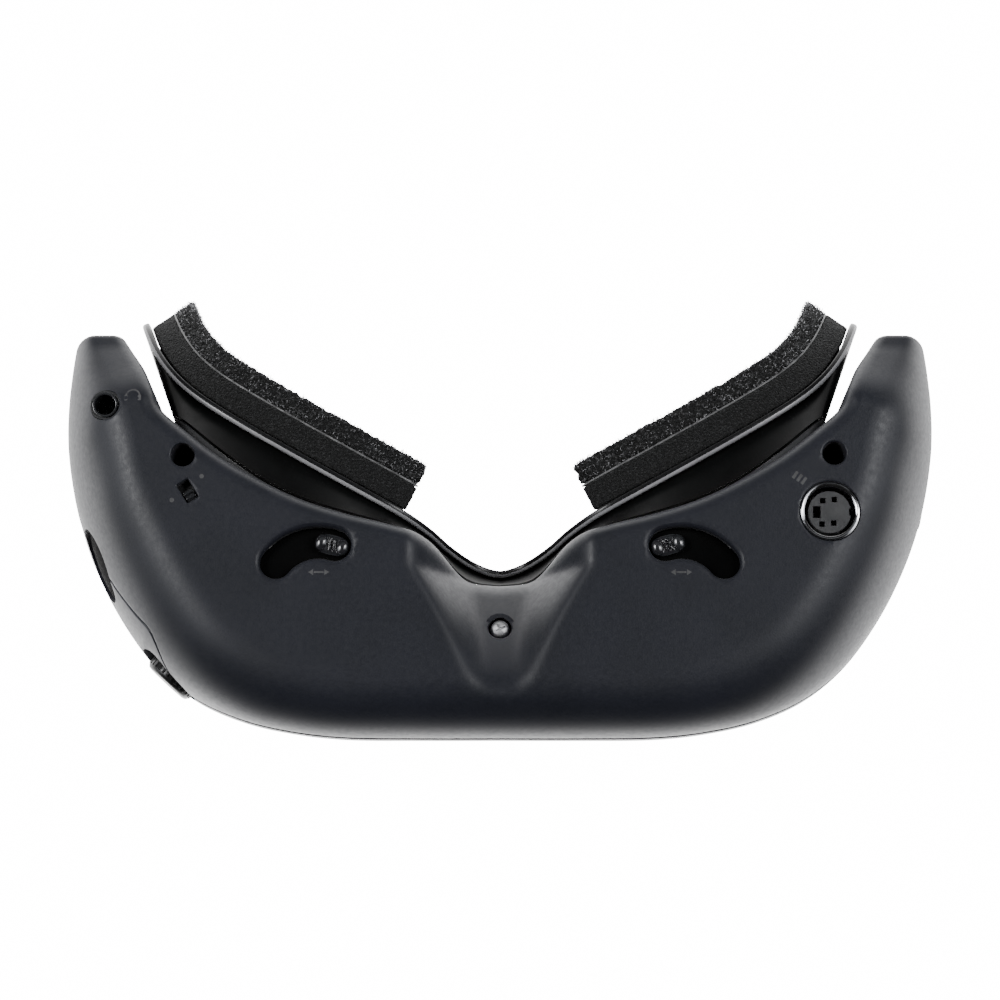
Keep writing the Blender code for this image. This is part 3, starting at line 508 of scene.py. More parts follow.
def rolled(grid, normal, radius):
    """The grid with its first and last columns rounded over."""
    first = edge_columns(grid[:, 0], grid[:, 1], normal[:, 0], radius)
    last = edge_columns(grid[:, -1], grid[:, -2], normal[:, -1], radius)[:, ::-1]
    keep = np.ones(grid.shape[1], dtype=bool)
    for edge in (grid[:, :1], grid[:, -1:]):
        keep &= np.linalg.norm(grid - edge, axis=2).min(axis=0) > radius * 1.3
    return np.concatenate([first, grid[:, keep], last], axis=1)


def rounded_tips(grid, normal):
    """The grid with the arms' ends rounded over towards their tips."""
    left = np.clip(ARM_TIP_Y - grid[:, :, 1], 0.0, TIP_ROUND)
    fall = TIP_ROUND - np.sqrt(TIP_ROUND**2 - (TIP_ROUND - left) ** 2)
    fall[np.abs(grid[:, :, 0]) < 60.0] = 0.0
    flat = normal * (1.0, 0.0, 1.0)
    flat /= np.maximum(np.linalg.norm(flat, axis=2, keepdims=True), 0.2)
    return grid - flat * fall[:, :, None]


def shell(name, grid, sign, finish, arms=False):
    """A closed wall under a grid of points, with round edges."""
    grid = np.array(grid, dtype=float)
    normal = surface_normals(grid, sign)
    inner = grid - normal * WALL
    inner = np.concatenate([inner[:, :-1:3], inner[:, -1:]], axis=1)
    if arms:
        limit = ARM_TIP_Y - WALL - (ARM_TIP_Y - inner[:, :, 1]) * 0.04
        inner[:, :, 1] = np.minimum(inner[:, :, 1], limit)
        grid = rounded_tips(grid, normal)
    outer = rolled(grid, normal, EDGE)
    bm = bmesh.new()
    top = [[bm.verts.new(point) for point in row] for row in outer]
    low = [[bm.verts.new(point) for point in row] for row in inner]
    for surface in (top, low):
        for first, second in zip(surface, surface[1:]):
            for index in range(len(first) - 1):
                bm.faces.new((first[index], first[index + 1], second[index + 1], second[index]))
    for column in (0, -1):
        for index in range(len(top) - 1):
            after = index + 1
            bm.faces.new((top[index][column], top[after][column], low[after][column], low[index][column]))
    for row in (0, -1):
        if arms:
            bm.faces.new(top[row])
            bm.faces.new(low[row])
            bm.faces.new((top[row][0], top[row][-1], low[row][-1], low[row][0]))
        else:
            bm.faces.new(top[row] + low[row][::-1])
    bmesh.ops.recalc_face_normals(bm, faces=bm.faces)
    return add_mesh(name, bm, finish)


def prism(name, outline, low, high, finish=None, place=None, edge=0.0, segments=2):
    """A flat outline extruded along its own Z, with its edges rounded by this much."""
    bm = bmesh.new()
    face = bm.faces.new([bm.verts.new((point[0], point[1], low)) for point in outline])
    raised = bmesh.ops.extrude_face_region(bm, geom=[face])["geom"]
    moved = [item for item in raised if isinstance(item, bmesh.types.BMVert)]
    bmesh.ops.translate(bm, vec=(0, 0, high - low), verts=moved)
    bmesh.ops.recalc_face_normals(bm, faces=bm.faces)
    if place:
        bmesh.ops.transform(bm, matrix=place, verts=bm.verts)
    obj = add_mesh(name, bm, finish)
    if edge:
        bevel(obj, edge, segments)
    return obj


def bevel(obj, width, segments=2, angle=40.0):
    made = obj.modifiers.new("edges", "BEVEL")
    made.width = width * MM
    made.segments = segments
    made.limit_method = "ANGLE"
    made.angle_limit = math.radians(angle)
    made.harden_normals = True


def box(name, low, high, finish=None, edge=0.0):
    outline = [(low[0], low[1]), (high[0], low[1]), (high[0], high[1]), (low[0], high[1])]
    return prism(name, outline, low[2], high[2], finish, edge=edge)


def turned(name, profile, finish=None, place=None, sides=72, closed=False, turn=32.0):
    """A turned shape from (radius, height) points about its own Z. Points on the axis close it."""
    rows = []
    for radius, height in profile:
        radius = max(radius, 0.0005)
        rows.append([(*polar((0.0, 0.0), radius, 2 * math.pi * k / sides), height) for k in range(sides)])
    obj = loft(name, rows, finish, ring=closed, closed=True, ends=not closed, turn=turn)
    if place:
        obj.data.transform(Matrix.Translation(place.to_translation() * MM) @ place.to_3x3().to_4x4())
    return obj


def facing(axis, start):
    """A frame at a point whose Z lies along this axis."""
    return Matrix.Translation(start) @ Vector(axis).to_track_quat("Z", "Y").to_matrix().to_4x4()


def facing_down(place, z):
    return Matrix.Translation((*place, z)) @ Matrix.Rotation(math.pi, 4, "X")


def cylinder(name, start, axis, radius, length, finish=None, sides=48, edge=0.0):
    profile = [(0.0, 0.0), (radius, 0.0), (radius, length), (0.0, length)]
    obj = turned(name, profile, finish, facing(axis, start), sides)
    if edge:
        bevel(obj, edge)
    return obj


def joined(obj, *others):
    """One object from several, with their modifiers applied first."""
    graph = bpy.context.evaluated_depsgraph_get()
    bm = bmesh.new()
    slots = []
    for item in (obj, *others):
        mesh = bpy.data.meshes.new_from_object(item.evaluated_get(graph))
        shift = {}
        for index, finish in enumerate(mesh.materials):
            if finish not in slots:
                slots.append(finish)
            shift[index] = slots.index(finish)
        before = len(bm.faces)
        bm.from_mesh(mesh)
        bm.faces.ensure_lookup_table()
        for face in bm.faces[before:]:
            face.material_index = shift.get(face.material_index, 0)
        bpy.data.meshes.remove(mesh)
    obj.modifiers.clear()
    obj.data.materials.clear()
    for finish in slots:
        obj.data.materials.append(finish)
    bm.to_mesh(obj.data)
    bm.free()
    for item in others:
        bpy.data.objects.remove(item, do_unlink=True)
    return obj


def cut(obj, *cutters):
    """Takes these shapes out of an object."""
    tool = joined(*cutters) if len(cutters) > 1 else cutters[0]
    made = obj.modifiers.new("cut", "BOOLEAN")
    made.operation = "DIFFERENCE"
    made.solver = "EXACT"
    made.object = tool
    graph = bpy.context.evaluated_depsgraph_get()
    mesh = bpy.data.meshes.new_from_object(obj.evaluated_get(graph))
    obj.modifiers.clear()
    old, obj.data = obj.data, mesh
    mesh.name = obj.name
    bpy.data.meshes.remove(old)
    bpy.data.objects.remove(tool, do_unlink=True)
    mesh.set_sharp_from_angle(angle=math.radians(32.0))


def flare(radius):
    """(outward, inward) steps of a cutter that rounds over the edge of its hole, from outside in."""
    turns = [math.radians(angle) for angle in (20, 40, 60, 80, 90)]
    made = [(radius * (1 - math.sin(a)), radius * (1 - math.cos(a))) for a in turns]
    (grow0, deep0), (grow1, deep1) = made[:2]
    return [(2 * grow0 - grow1, 2 * deep0 - deep1)] + made


def hole_cutter(name, outline, edge, place, end):
    """Cuts a hole with a round edge. place gives the point for an outline's index, a point and a depth
    under the skin, and end gives it for the far end of the hole."""
    rows = []
    for grow, deep in [(flare(edge)[0][0], -4.0)] + flare(edge):
        rows.append([place(index, point, deep) for index, point in enumerate(grown(outline, grow))])
    rows.append([end(point) for point in outline])
    return loft(name, rows, closed=True, ends=True)


def draped_cutter(name, outline, edge, top):
    """Cuts a hole through the underside whose round edge follows the skin, up to the height top."""
    skin = [skin_height(*point) for point in outline]
    return hole_cutter(name, outline, edge, lambda index, point, deep: (*point, skin[index] + deep),
                       lambda point: (*point, top))


def wall_cutter(name, outline, edge, place, depth=7.0):
    """Cuts a hole with a round edge through the outer wall at a place on it."""
    def at(_, point, deep):
        return place @ Vector((*point, -deep))

    return hole_cutter(name, outline, edge, at, lambda point: place @ Vector((*point, -depth)))


def strap_cutter(side):
    low, high = STRAP_SLOT_LOW, STRAP_SLOT_HIGH
    half_y, half_z = (high[1] - low[1]) / 2, (high[2] - low[2]) / 2
    outline = rounded(half_y, half_z, 1.2, ((low[1] + high[1]) / 2, (low[2] + high[2]) / 2))
    place = Matrix(((0, 0, side, 0), (1, 0, 0, 0), (0, 1, 0, 0), (0, 0, 0, 1)))
    return prism(f"cut_strap_{side}", outline, low[0], high[0], place=place)


def shared_cutters():
    """The strap slots and the holes of the two left-hand controls, which both shells have."""
    made = [strap_cutter(side) for side in (1, -1)]
    for name, place in (("side", SIDE_KEY), ("stick", MENU_STICK)):
        made.append(wall_cutter(f"cut_{name}", circle((0, 0), KEY_HOLE, 72), 0.3, wall_place(*place)))
    return made


def key_frame(place):
    """A wall frame with X up the wall."""
    return wall_place(*place) @ Matrix.Rotation(math.pi / 2, 4, "Z")


def show(obj, body, *nodes, slot=None):
    """The piece rides on a body and stands for these CAD nodes."""
    obj.data.transform(Matrix.Translation((0.0, -MIDDLE_Y * MM, 0.0)))
    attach(obj, body)
    if nodes:
        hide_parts(*nodes)
    return obj


# Materials


def shade_of(colour):
    """RGBA from an RGB colour or a grey."""
    return (*colour, 1.0) if isinstance(colour, tuple) else (colour, colour, colour, 1.0)


def material(name, colour, roughness, metallic=0.0, **constants):
    """A material and its shader, with constants set on the shader's own sockets."""
    made = bpy.data.materials.new(name)
    made.use_nodes = True
    shader = made.node_tree.nodes["Principled BSDF"]
    shader.inputs["Base Color"].default_value = shade_of(colour)
    shader.inputs["Roughness"].default_value = roughness
    shader.inputs["Metallic"].default_value = metallic
    for socket, value in constants.items():
        shader.inputs[socket.replace("_", " ")].default_value = value
    return made, shader


def node(tree, kind, *sources, **settings):
    """A new node. The sources feed its first inputs, and the settings are its options, and the values or
    links of its other inputs."""
    made = tree.nodes.new(f"ShaderNode{kind}")
    for name, value in settings.items():
        label = name.replace("_", " ")
        if label not in made.inputs:
            setattr(made, name, value)
        elif isinstance(value, bpy.types.NodeSocket):
            tree.links.new(value, made.inputs[label])
        else:
            made.inputs[label].default_value = value
    for source, socket in zip(sources, made.inputs):
        tree.links.new(source, socket)
    return made


def object_place(tree):
    return node(tree, "TexCoord").outputs["Object"]


def noise(tree, size, detail=2.0, rough=0.5):
    """A noise texture whose blobs are about this many millimetres across."""
    made = node(tree, "TexNoise", object_place(tree), Scale=1 / (size * MM), Detail=detail, Roughness=rough)
    return made.outputs["Fac"]


def ramp(tree, source, low, high, first, second):
    """Colours or greys from first to second as the source runs from low to high."""
    made = node(tree, "ValToRGB", source)
    for stop, at, colour in zip(made.color_ramp.elements, (low, high), (first, second)):
        stop.position = at
        stop.color = shade_of(colour)
    return made.outputs["Color"]


def bumped(tree, shader, source, height, **before):
    """Bumps of this height on the shader, on top of an earlier bump's Normal."""
    made = node(tree, "Bump", Strength=1.0, Distance=height * MM, Height=source, **before)
    tree.links.new(made.outputs["Normal"], shader.inputs["Normal"])
    return made.outputs["Normal"]


def moulded(name, dark, light, rough_low, rough_high, grain, height, patch=14.0, **constants):
    """Moulded stuff: colour and gloss that wander, and a fine grain."""
    made, shader = material(name, dark, rough_low, **constants)
    tree = made.node_tree
    tint = ramp(tree, noise(tree, patch, 3.0), 0.35, 0.65, dark, light)
    tree.links.new(tint, shader.inputs["Base Color"])
    fine = noise(tree, grain * 3.0, 3.0)
    tree.links.new(ramp(tree, fine, 0.3, 0.7, rough_low, rough_high), shader.inputs["Roughness"])
    bumped(tree, shader, noise(tree, grain, 1.0), height)
    return made


def foam(name, dark, light, cell, height):
    """Cut foam: speckled cells with lit strands between them."""
    made, shader = material(name, dark, 0.95, Sheen_Weight=0.08, Sheen_Roughness=0.6)
    tree = made.node_tree
    cells = node(tree, "TexVoronoi", object_place(tree), feature="DISTANCE_TO_EDGE", Scale=1 / (cell * MM))
    speckle = noise(tree, cell * 0.8, 4.0, 0.7)
    tree.links.new(ramp(tree, speckle, 0.54, 0.74, dark, light), shader.inputs["Base Color"])
    first = bumped(tree, shader, ramp(tree, cells.outputs["Distance"], 0.0, 0.35, 1.0, 0.0), height)
    bumped(tree, shader, speckle, height * 0.7, Normal=first)
    return made


def brushed(name, colour, rough, turn_size):
    """Turned metal: faint smears of colour and gloss, and a fine grain."""
    made, shader = material(name, colour, rough, 1.0)
    tree = made.node_tree
    smear = noise(tree, 2.5, 4.0, 0.6)
    low = tuple(0.8 * part for part in colour)
    tree.links.new(ramp(tree, smear, 0.3, 0.7, low, colour), shader.inputs["Base Color"])
    tree.links.new(ramp(tree, smear, 0.3, 0.7, rough * 0.7, rough * 1.6), shader.inputs["Roughness"])
    bumped(tree, shader, noise(tree, turn_size, 2.0), 0.004)
    return made


def circuit(name, mask, track):
    """Solder mask over copper tracks."""
    made, shader = material(name, mask, 0.35, Coat_Weight=0.3)
    tree = made.node_tree
    turn = node(tree, "Mapping", object_place(tree), Rotation=(math.pi / 2, 0.0, 0.0))
    lines = node(
        tree, "TexBrick", turn.outputs["Vector"], Scale=260.0, Mortar_Size=0.03, Color1=shade_of(mask),
        Color2=shade_of(tuple(part * 0.8 for part in mask)), Mortar=shade_of(track),
    )
    tree.links.new(lines.outputs["Color"], shader.inputs["Base Color"])
    bumped(tree, shader, lines.outputs["Fac"], 0.03)
    return made


SOFT_TOUCH = moulded(
    "soft_touch_black", (0.013, 0.0145, 0.021), (0.017, 0.0185, 0.027), 0.40, 0.50, 0.28, 0.012,
    Sheen_Weight=0.06, Sheen_Roughness=0.45,
)
GLOSS = moulded(
    "gloss_black", (0.008, 0.008, 0.009), (0.011, 0.011, 0.012), 0.10, 0.17, 0.8, 0.002, Coat_Weight=0.3,
    Coat_Roughness=0.06,
)
SATIN = moulded("satin_black", 0.012, 0.018, 0.24, 0.34, 0.3, 0.008)
# Painted sheen: a grey far lighter than the black plastic, on the eyepiece frame's rolled lip and inside
# the headphone jack.
PAINTED_SHEEN_GRAY = moulded("painted_sheen_gray", (0.055, 0.056, 0.058), (0.075, 0.076, 0.078), 0.30, 0.42, 0.3, 0.008)
LIP_BLACK = moulded("lip_black", (0.008, 0.008, 0.009), (0.012, 0.012, 0.013), 0.24, 0.30, 0.3, 0.003)
# Painted highlight: a light grey on the rounding of the flange's lower lip, where black plastic would be.
LIP_PAINTED_HIGHLIGHT = moulded("lip_painted_highlight", (0.30, 0.30, 0.31), (0.40, 0.40, 0.41), 0.20, 0.30, 0.3, 0.003)
SKIRT = moulded("skirt_black", 0.004, 0.006, 0.30, 0.38, 0.8, 0.002, Specular_IOR_Level=0.10)
KNOB_BLACK = moulded(
    "knob_black", (0.018, 0.019, 0.021), (0.026, 0.027, 0.030), 0.18, 0.26, 0.5, 0.002, Coat_Weight=1.0,
    Coat_Roughness=0.18, Specular_IOR_Level=0.9,
)
INNER = moulded("inner_black", 0.010, 0.015, 0.50, 0.62, 0.4, 0.01)
FOAM_DENSE = foam("dense_foam", 0.001, (0.065, 0.065, 0.067), 0.60, 0.30)
FOAM_SOFT = foam("open_cell_foam", 0.001, (0.22, 0.22, 0.225), 0.75, 0.45)
# Painted highlight: strands of black foam coloured in patches up to a light grey.
STRAND_PAINTED_HIGHLIGHT = moulded("foam_strand_painted_highlight", 0.010, (0.70, 0.70, 0.72), 0.4, 0.6, 0.2, 0.002, patch=0.9)
CHROME = brushed("chromed_steel", (0.78, 0.78, 0.80), 0.13, 0.6)
STEEL = brushed("steel", (0.55, 0.55, 0.57), 0.26, 0.4)
# Painted highlight: steel much lighter than the other steel, for the screw under the nose.
STEEL_PAINTED_HIGHLIGHT = brushed("screw_steel_painted_highlight", (0.90, 0.90, 0.91), 0.42, 0.4)
GRAY = moulded(
    "socket_gray", (0.050, 0.051, 0.053), (0.070, 0.071, 0.073), 0.38, 0.5, 0.25, 0.01, patch=3.0,
)
# Painted shade: near-black with almost no gloss, darker than the plastic's own black, for parts deep in
# wells, slots and cups.
PAINTED_SHADE_BLACK = moulded("painted_shade_black", 0.003, 0.005, 0.7, 0.85, 0.4, 0.006, Specular_IOR_Level=0.02)
PRINT = moulded("marking_gray", (0.07, 0.07, 0.072), (0.10, 0.10, 0.103), 0.5, 0.6, 0.2, 0.004, patch=2.0)
PAD_GLUE = moulded("pad_backing", 0.10, 0.24, 0.35, 0.5, 0.3, 0.01, patch=2.0)
BOARD = circuit("circuit_board", (0.010, 0.075, 0.035), (0.10, 0.30, 0.12))
SCREEN = moulded(
    "display_glass", (0.006, 0.008, 0.014), (0.008, 0.011, 0.020), 0.05, 0.09, 2.0, 0.001, Coat_Weight=1.0
)
LENS = moulded(
    "coated_lens", (0.80, 0.84, 0.90), (0.84, 0.87, 0.93), 0.015, 0.03, 4.0, 0.0005,
    Transmission_Weight=1.0, IOR=1.5, Coat_Weight=0.5, Coat_Tint=(0.55, 0.6, 1.0, 1.0),
)


# The body


def tip_stations():
    """Stations from the middle to an arm's tip, close together where the tip rounds over."""
    made = steps(0.0, TIP_START, 124)
    for angle in steps(0.0, math.pi / 2, 9):
        goal = ARM_TIP_Y - TIP_ROUND * (1 - math.sin(angle))
        made.append(bisected(TIP_START, ARM_END, 24, lambda station: Rib(station).outer.y < goal)[1])
    return made


HALF = tip_stations()
ALL_STATIONS = [-station for station in HALF[:0:-1]] + HALF


def screw_liner(name, place, depth):
    """The tube and seat that a case screw sits in."""
    skin = nose_rise(*place)
    seat = skin + depth
    radius = WELL_RADIUS + 0.01
    profile = [
        (radius, skin + 1.1), (radius, seat), (1.1, seat), (1.1, seat + SEAT_DEPTH),
        (2.9, seat + SEAT_DEPTH), (2.9, skin + 1.1),
    ]
    return turned(name, profile, SOFT_TOUCH, Matrix.Translation((*place, 0.0)), closed=True)


def make_bottom_shell():
    ribs = [Rib(station).under() for station in ALL_STATIONS]
    body = shell("underside_shell", ribs, -1.0, SOFT_TOUCH, True)
    cutters = []
    for name, place, depth in SCREWS:
        top = nose_rise(*place) + depth
        cutters.append(draped_cutter(f"cut_{name}", circle(place, WELL_RADIUS), 0.3, top))
    for side in (1, -1):
        first = on_side(side, LEVER_REST + SLOT_MARGIN)
        last = on_side(side, LEVER_REST + LEVER_TURN - SLOT_MARGIN)
        outline = arc_slot((side * LEVER_X, LEVER_Y), LEVER_RADIUS, LEVER_SLOT, first, last)
        cutters.append(draped_cutter(f"cut_lever_{side}", outline, 0.9, 2.6))
    cutters.append(draped_cutter("cut_jack", circle(JACK, 2.75), 0.35, 14.0))
    cutters.append(draped_cutter("cut_data", circle(DATA_SOCKET, 5.5, 72), 0.25, 4.0))
    window = rounded(1.95, 1.2, 0.3, MODE_SWITCH, MODE_ANGLE, 4)
    cutters.append(draped_cutter("cut_mode", window, 0.22, 3.0))
    cut(body, *cutters, *shared_cutters())
    liners = [screw_liner(f"liner_{name}", place, depth) for name, place, depth in SCREWS]
    posts = []
    for side in (1, -1):
        post = [(0.0, 1.2), (1.6, 1.2), (1.6, 5.7), (1.3, 6.0), (0.0, 6.0)]
        posts.append(turned("post", post, SOFT_TOUCH, Matrix.Translation((side * LEVER_X, LEVER_Y, 0.0))))
    show(joined(body, *liners, *posts), "housing", "bottom_shell", slot="shell")


def front_rows(spread, below, high, ribs, count):
    """Rows of the front wall between the cover's ends, from below the widest line to a height."""
    rows = []
    for station in steps(-COVER_RIGHT - spread, COVER_LEFT + spread, ribs):
        rib = Rib(station)
        start = rib.lower(rib.widest - below, 0.0, 1)[:1] if below else []
        rows.append(start + rib.front(rib.widest, high, count))
    return rows


def make_top_shell():
    body = shell("upper_shell", [Rib(station).over() for station in ALL_STATIONS], 1.0, SOFT_TOUCH, True)
    outer = np.array(front_rows(0.04, 3.0, COVER_TOP + GAP, 90, 14), dtype=float)
    normal = surface_normals(outer, 1.0)
    rows = np.concatenate([outer + normal * 3.5, (outer - normal * 3.5)[:, ::-1]], axis=1)
    window = loft("cut_cover", rows.tolist(), closed=True, ends=True)
    cutters = [window] + shared_cutters()
    power = rounded(2.0, 3.7, 1.9)
    cutters.append(wall_cutter("cut_power", power, 0.25, key_frame(POWER_KEY), 5.0))
    cutters.append(wall_cutter("cut_menu", circle((0, 0), 1.3), 0.2, wall_place(*MENU_KEY)))
    cutters.append(wall_cutter("cut_socket", circle((0, 0), 3.2), 0.3, wall_place(*POWER_SOCKET)))
    for cutter in cutters:
        cut(body, cutter)
    show(body, "housing", "top_shell", slot="shell")


def make_front_cover():
    rows = front_rows(0.0, 0.0, COVER_TOP - GAP, 150, 30)
    show(shell("front_panel", rows, 1.0, SOFT_TOUCH), "housing", "front_cover", slot="shell")


# The face side


def make_eyepiece_frame():
    """A rolled lip round the rear opening, and a plate behind it with a window for each eye."""
    places = steps(0.0, RING, 288)[:-1]
    outline = [outline_at(FRAME_OUTLINE, place) for place in places]
    rows = []
    roll = ((0.0, 0.0), (0.75, 0.0), (0.93, 0.12), (1.0, 0.4), (1.0, 0.8), (0.93, 1.08), (0.75, 1.2))
    for reach, inset in roll:
        row = []
        for place, (x, z) in zip(places, outline):
            inner_x, inner_z = inset_at(FRAME_OUTLINE, place, inset)
            row.append((inner_x, rear_line(x, z) + lip_reach(x) * reach, inner_z))
        rows.append(row)
    foot = [inset_at(FRAME_OUTLINE, place, FRAME_WALL) for place in places]
    rows.append([(x, rear_line(x, z), z) for x, z in foot])
    lip_faces = len(rows) * len(places)
    inward = (0.86, 0.72, 0.55, 0.38, 0.2, 0.05)
    for scales, behind in (((0.975, *inward), 0.0), ((*inward[::-1], 1.0), FRAME_WALL)):
        for scale in scales:
            ring = [(x * scale, mix(FRAME_MIDDLE, z, scale)) for x, z in outline]
            rows.append([(x, rear_line(x, z) - frame_depth(x) - behind, z) for x, z in ring])
    body = loft("eyepiece_plate", rows, GLOSS, ring=True, closed=True)
    body.data.materials.append(PAINTED_SHEEN_GRAY)
    # The rolled lip's faces get the painted sheen grey, and the plate gets the gloss black.
    for polygon in body.data.polygons:
        polygon.material_index = 1 if polygon.index < lip_faces else 0
    cutters = []
    for side in (1, -1):
        centre = (side * (EYE_X + EYE_TRAVEL / 2), EYE_HEIGHT)
        window = rounded(11.0 + EYE_TRAVEL / 2, 11.0, 10.9, centre, corner=16)
        stand = Matrix.Rotation(math.pi / 2, 4, "X")
        cutters.append(prism("cut_eye", window, -16.0, 16.0, place=stand))
    cut(body, *cutters)
    show(body, "housing", "eyepiece_frame", slot="gloss")


def make_faceplate():
    """The flange, with a painted highlight on its lower lip, and the skirt that joins it to the eyepiece
    frame.
    """
    quarter = steps(0.0, math.pi / 2, 4)
    lip = [(LIP_ROUND * (1 - math.sin(a)), LIP_ROUND * (1 - math.cos(a)) - FLANGE) for a in quarter]
    brim = [(EDGE * (1 - math.cos(a)), EDGE * (math.sin(a) - 1)) for a in quarter]
    rows = []
    for place in steps(0.0, RING, 432)[:-1]:
        nose = 1 - smooth(2.6, 4.0, min(place, RING - place))
        width = mix(PAD_INSETS[-1] + 0.9, 3.6, nose)
        insets = [inset * width / (PAD_INSETS[-1] + 0.9) for inset in PAD_INSETS]
        edge_x, edge_z = outline_at(FRAME_OUTLINE, place)
        core_x, core_z = inset_at(FRAME_OUTLINE, place, FLANGE)
        front = rear_line(edge_x, edge_z) + lip_reach(edge_x) + GAP + 0.3
        section = [(inset, 0.0) for inset in (*insets[1:], width)]
        section += [(inset, -FLANGE) for inset in (width, insets[2], insets[1])]
        row = [flange_point(place, *point) for point in section]
        row += [(core_x, front, core_z), (edge_x, front, edge_z)]
        row += [flange_point(place, *point) for point in [(LEDGE, -FLANGE)] + lip + brim]
        rows.append(row)
    body = loft("face_skirt", rows, SKIRT, ring=True, closed=True)
    body.data.materials.append(LIP_BLACK)
    body.data.materials.append(LIP_PAINTED_HIGHLIGHT)
    points = len(rows[0])
    lip_start = points - len(lip) - len(brim)
    # Faces on the lower lip's rounding get the light grey painted highlight, and the rest of the lip and
    # brim get the lip black.
    for polygon in body.data.polygons:
        column = polygon.index % points
        if column >= lip_start - 1:
            polygon.material_index = 2 if lip_start <= column < lip_start + len(lip) - 1 else 1
    show(body, "housing", "faceplate", slot="gloss")


def pad_section(near, far, corner):
    """Half-round corners for a pad's section, as (inset, out) points."""
    low, high = PAD_INSETS[0], PAD_INSETS[-1]
    made = []
    for (x, y), start in (((low, near), 180), ((high, near), 270), ((high, far), 0), ((low, far), 90)):
        centre = (x + corner * (1 if x == low else -1), y + corner * (1 if y == near else -1))
        made += [polar(centre, corner, math.radians(start + 90 * part)) for part in steps(0.0, 1.0, 4)]
    dense = []
    for first, second in zip(made, made[1:] + made[:1]):
        count = max(1, round(math.dist(first, second) / 0.55))
        dense += [(mix(first[0], second[0], k / count), mix(first[1], second[1], k / count))
                  for k in range(count)]
    return dense


def pad(name, side, near, far, finish, corner, lumps, size):
    """One layer of a pad, with its surface worked into foam cells."""
    section = pad_section(near, far, corner)
    rows = []
    places = steps(PAD_START, PAD_END, 250)
    middle = (PAD_INSETS[0] + PAD_INSETS[-1]) / 2, (near + far) / 2
    for place in places:
        end = min(place - PAD_START, PAD_END - place) * 3.0
        shrink = 1.0 - 0.06 * (1.0 - smooth(0.0, 0.6, end))
        at = place if side > 0 else RING - place
        row = [
            pad_point(at, mix(middle[0], inset, shrink), mix(middle[1], out, shrink))
            for inset, out in section
        ]
        rows.append(row)
    grid = np.array(rows, dtype=float)
    body = loft(name, grid.tolist(), finish, closed=True, ends=True)
    texture = bpy.data.textures.new(f"{name}_cells", "CLOUDS")
    texture.noise_scale = size * MM
    texture.noise_depth = 1
    rough = body.modifiers.new("cells", "DISPLACE")
    rough.texture = texture
    rough.texture_coords = "GLOBAL"
    rough.strength = lumps * MM
    rough.mid_level = 0.62
    return body, grid


def strands(name, grid, seed, count, length):
    """Loose strands and cell edges that stand up from a pad's surface."""
    dice = random.Random(seed)
    normal = surface_normals(grid, 1.0)
    middle = grid.mean(axis=1, keepdims=True)
    if ((grid - middle) * normal).sum() < 0:
        normal = -normal
    bm = bmesh.new()
    rows, columns = grid.shape[:2]
    for _ in range(count):
        row, column = dice.randrange(1, rows - 1), dice.randrange(columns)
        root = Vector(grid[row, column])
        out = Vector(normal[row, column])
        lean = Vector((dice.gauss(0, 1), dice.gauss(0, 1), dice.gauss(0, 1)))
        reach = length * dice.uniform(0.4, 1.0)
        tip = (out + lean * 0.9).normalized() * reach
        bend = Vector((dice.gauss(0, 1), dice.gauss(0, 1), dice.gauss(0, 1))) * reach * 0.35
        path = [root - out * 0.15, root + tip * 0.5 + bend * 0.5, root + tip]
        thick = dice.uniform(0.04, 0.085)
        rings = []
        for step, point in enumerate(path):
            across = tip.cross(lean).normalized() * thick * (1.0, 0.8, 0.35)[step]
            other = tip.cross(across).normalized() * across.length
            rings.append([bm.verts.new(point + across * math.cos(a) + other * math.sin(a))
                          for a in (0.0, 2.1, 4.2)])
        for first, second in zip(rings, rings[1:]):
            for k in range(3):
                bm.faces.new((first[k], first[(k + 1) % 3], second[(k + 1) % 3], second[k]))
        bm.faces.new(rings[-1])
        bm.faces.new(rings[0][::-1])
    # The strands get the painted highlight material, light grey on black foam.
    return add_mesh(name, bm, STRAND_PAINTED_HIGHLIGHT, 180.0)


def make_pads():
    middle = FOAM_BASE + GAP
    for side, word in ((1, "left"), (-1, "right")):
        base, grid = pad(f"dense_pad_{word}", side, GAP, FOAM_BASE, FOAM_DENSE, 0.4, 0.22, 0.5)
        show(base, "housing", f"foam_base_{word}", slot="foam_dense")
        face, grid = pad(f"soft_pad_{word}", side, middle, middle + FOAM_FACE, FOAM_SOFT, 0.7, 0.9, 0.8)
        show(face, "housing", f"foam_face_{word}", slot="foam_soft")
        fuzz = strands(f"pad_strands_{word}", grid, 11 + side, 9000, 0.7)
        show(fuzz, "housing", slot="foam_soft")
        film = pad_section(FOAM_BASE - 0.02, middle + 0.02, 0.1)
        rows = []
        for place in steps(PAD_START + 0.02, PAD_END - 0.02, 160):
            at = place if side > 0 else RING - place
            rows.append([pad_point(at, mix(6.3, inset, 0.985), out) for inset, out in film])
        show(loft(f"pad_film_{word}", rows, PAD_GLUE, closed=True, ends=True), "housing", slot="foam_dense")


# Optics


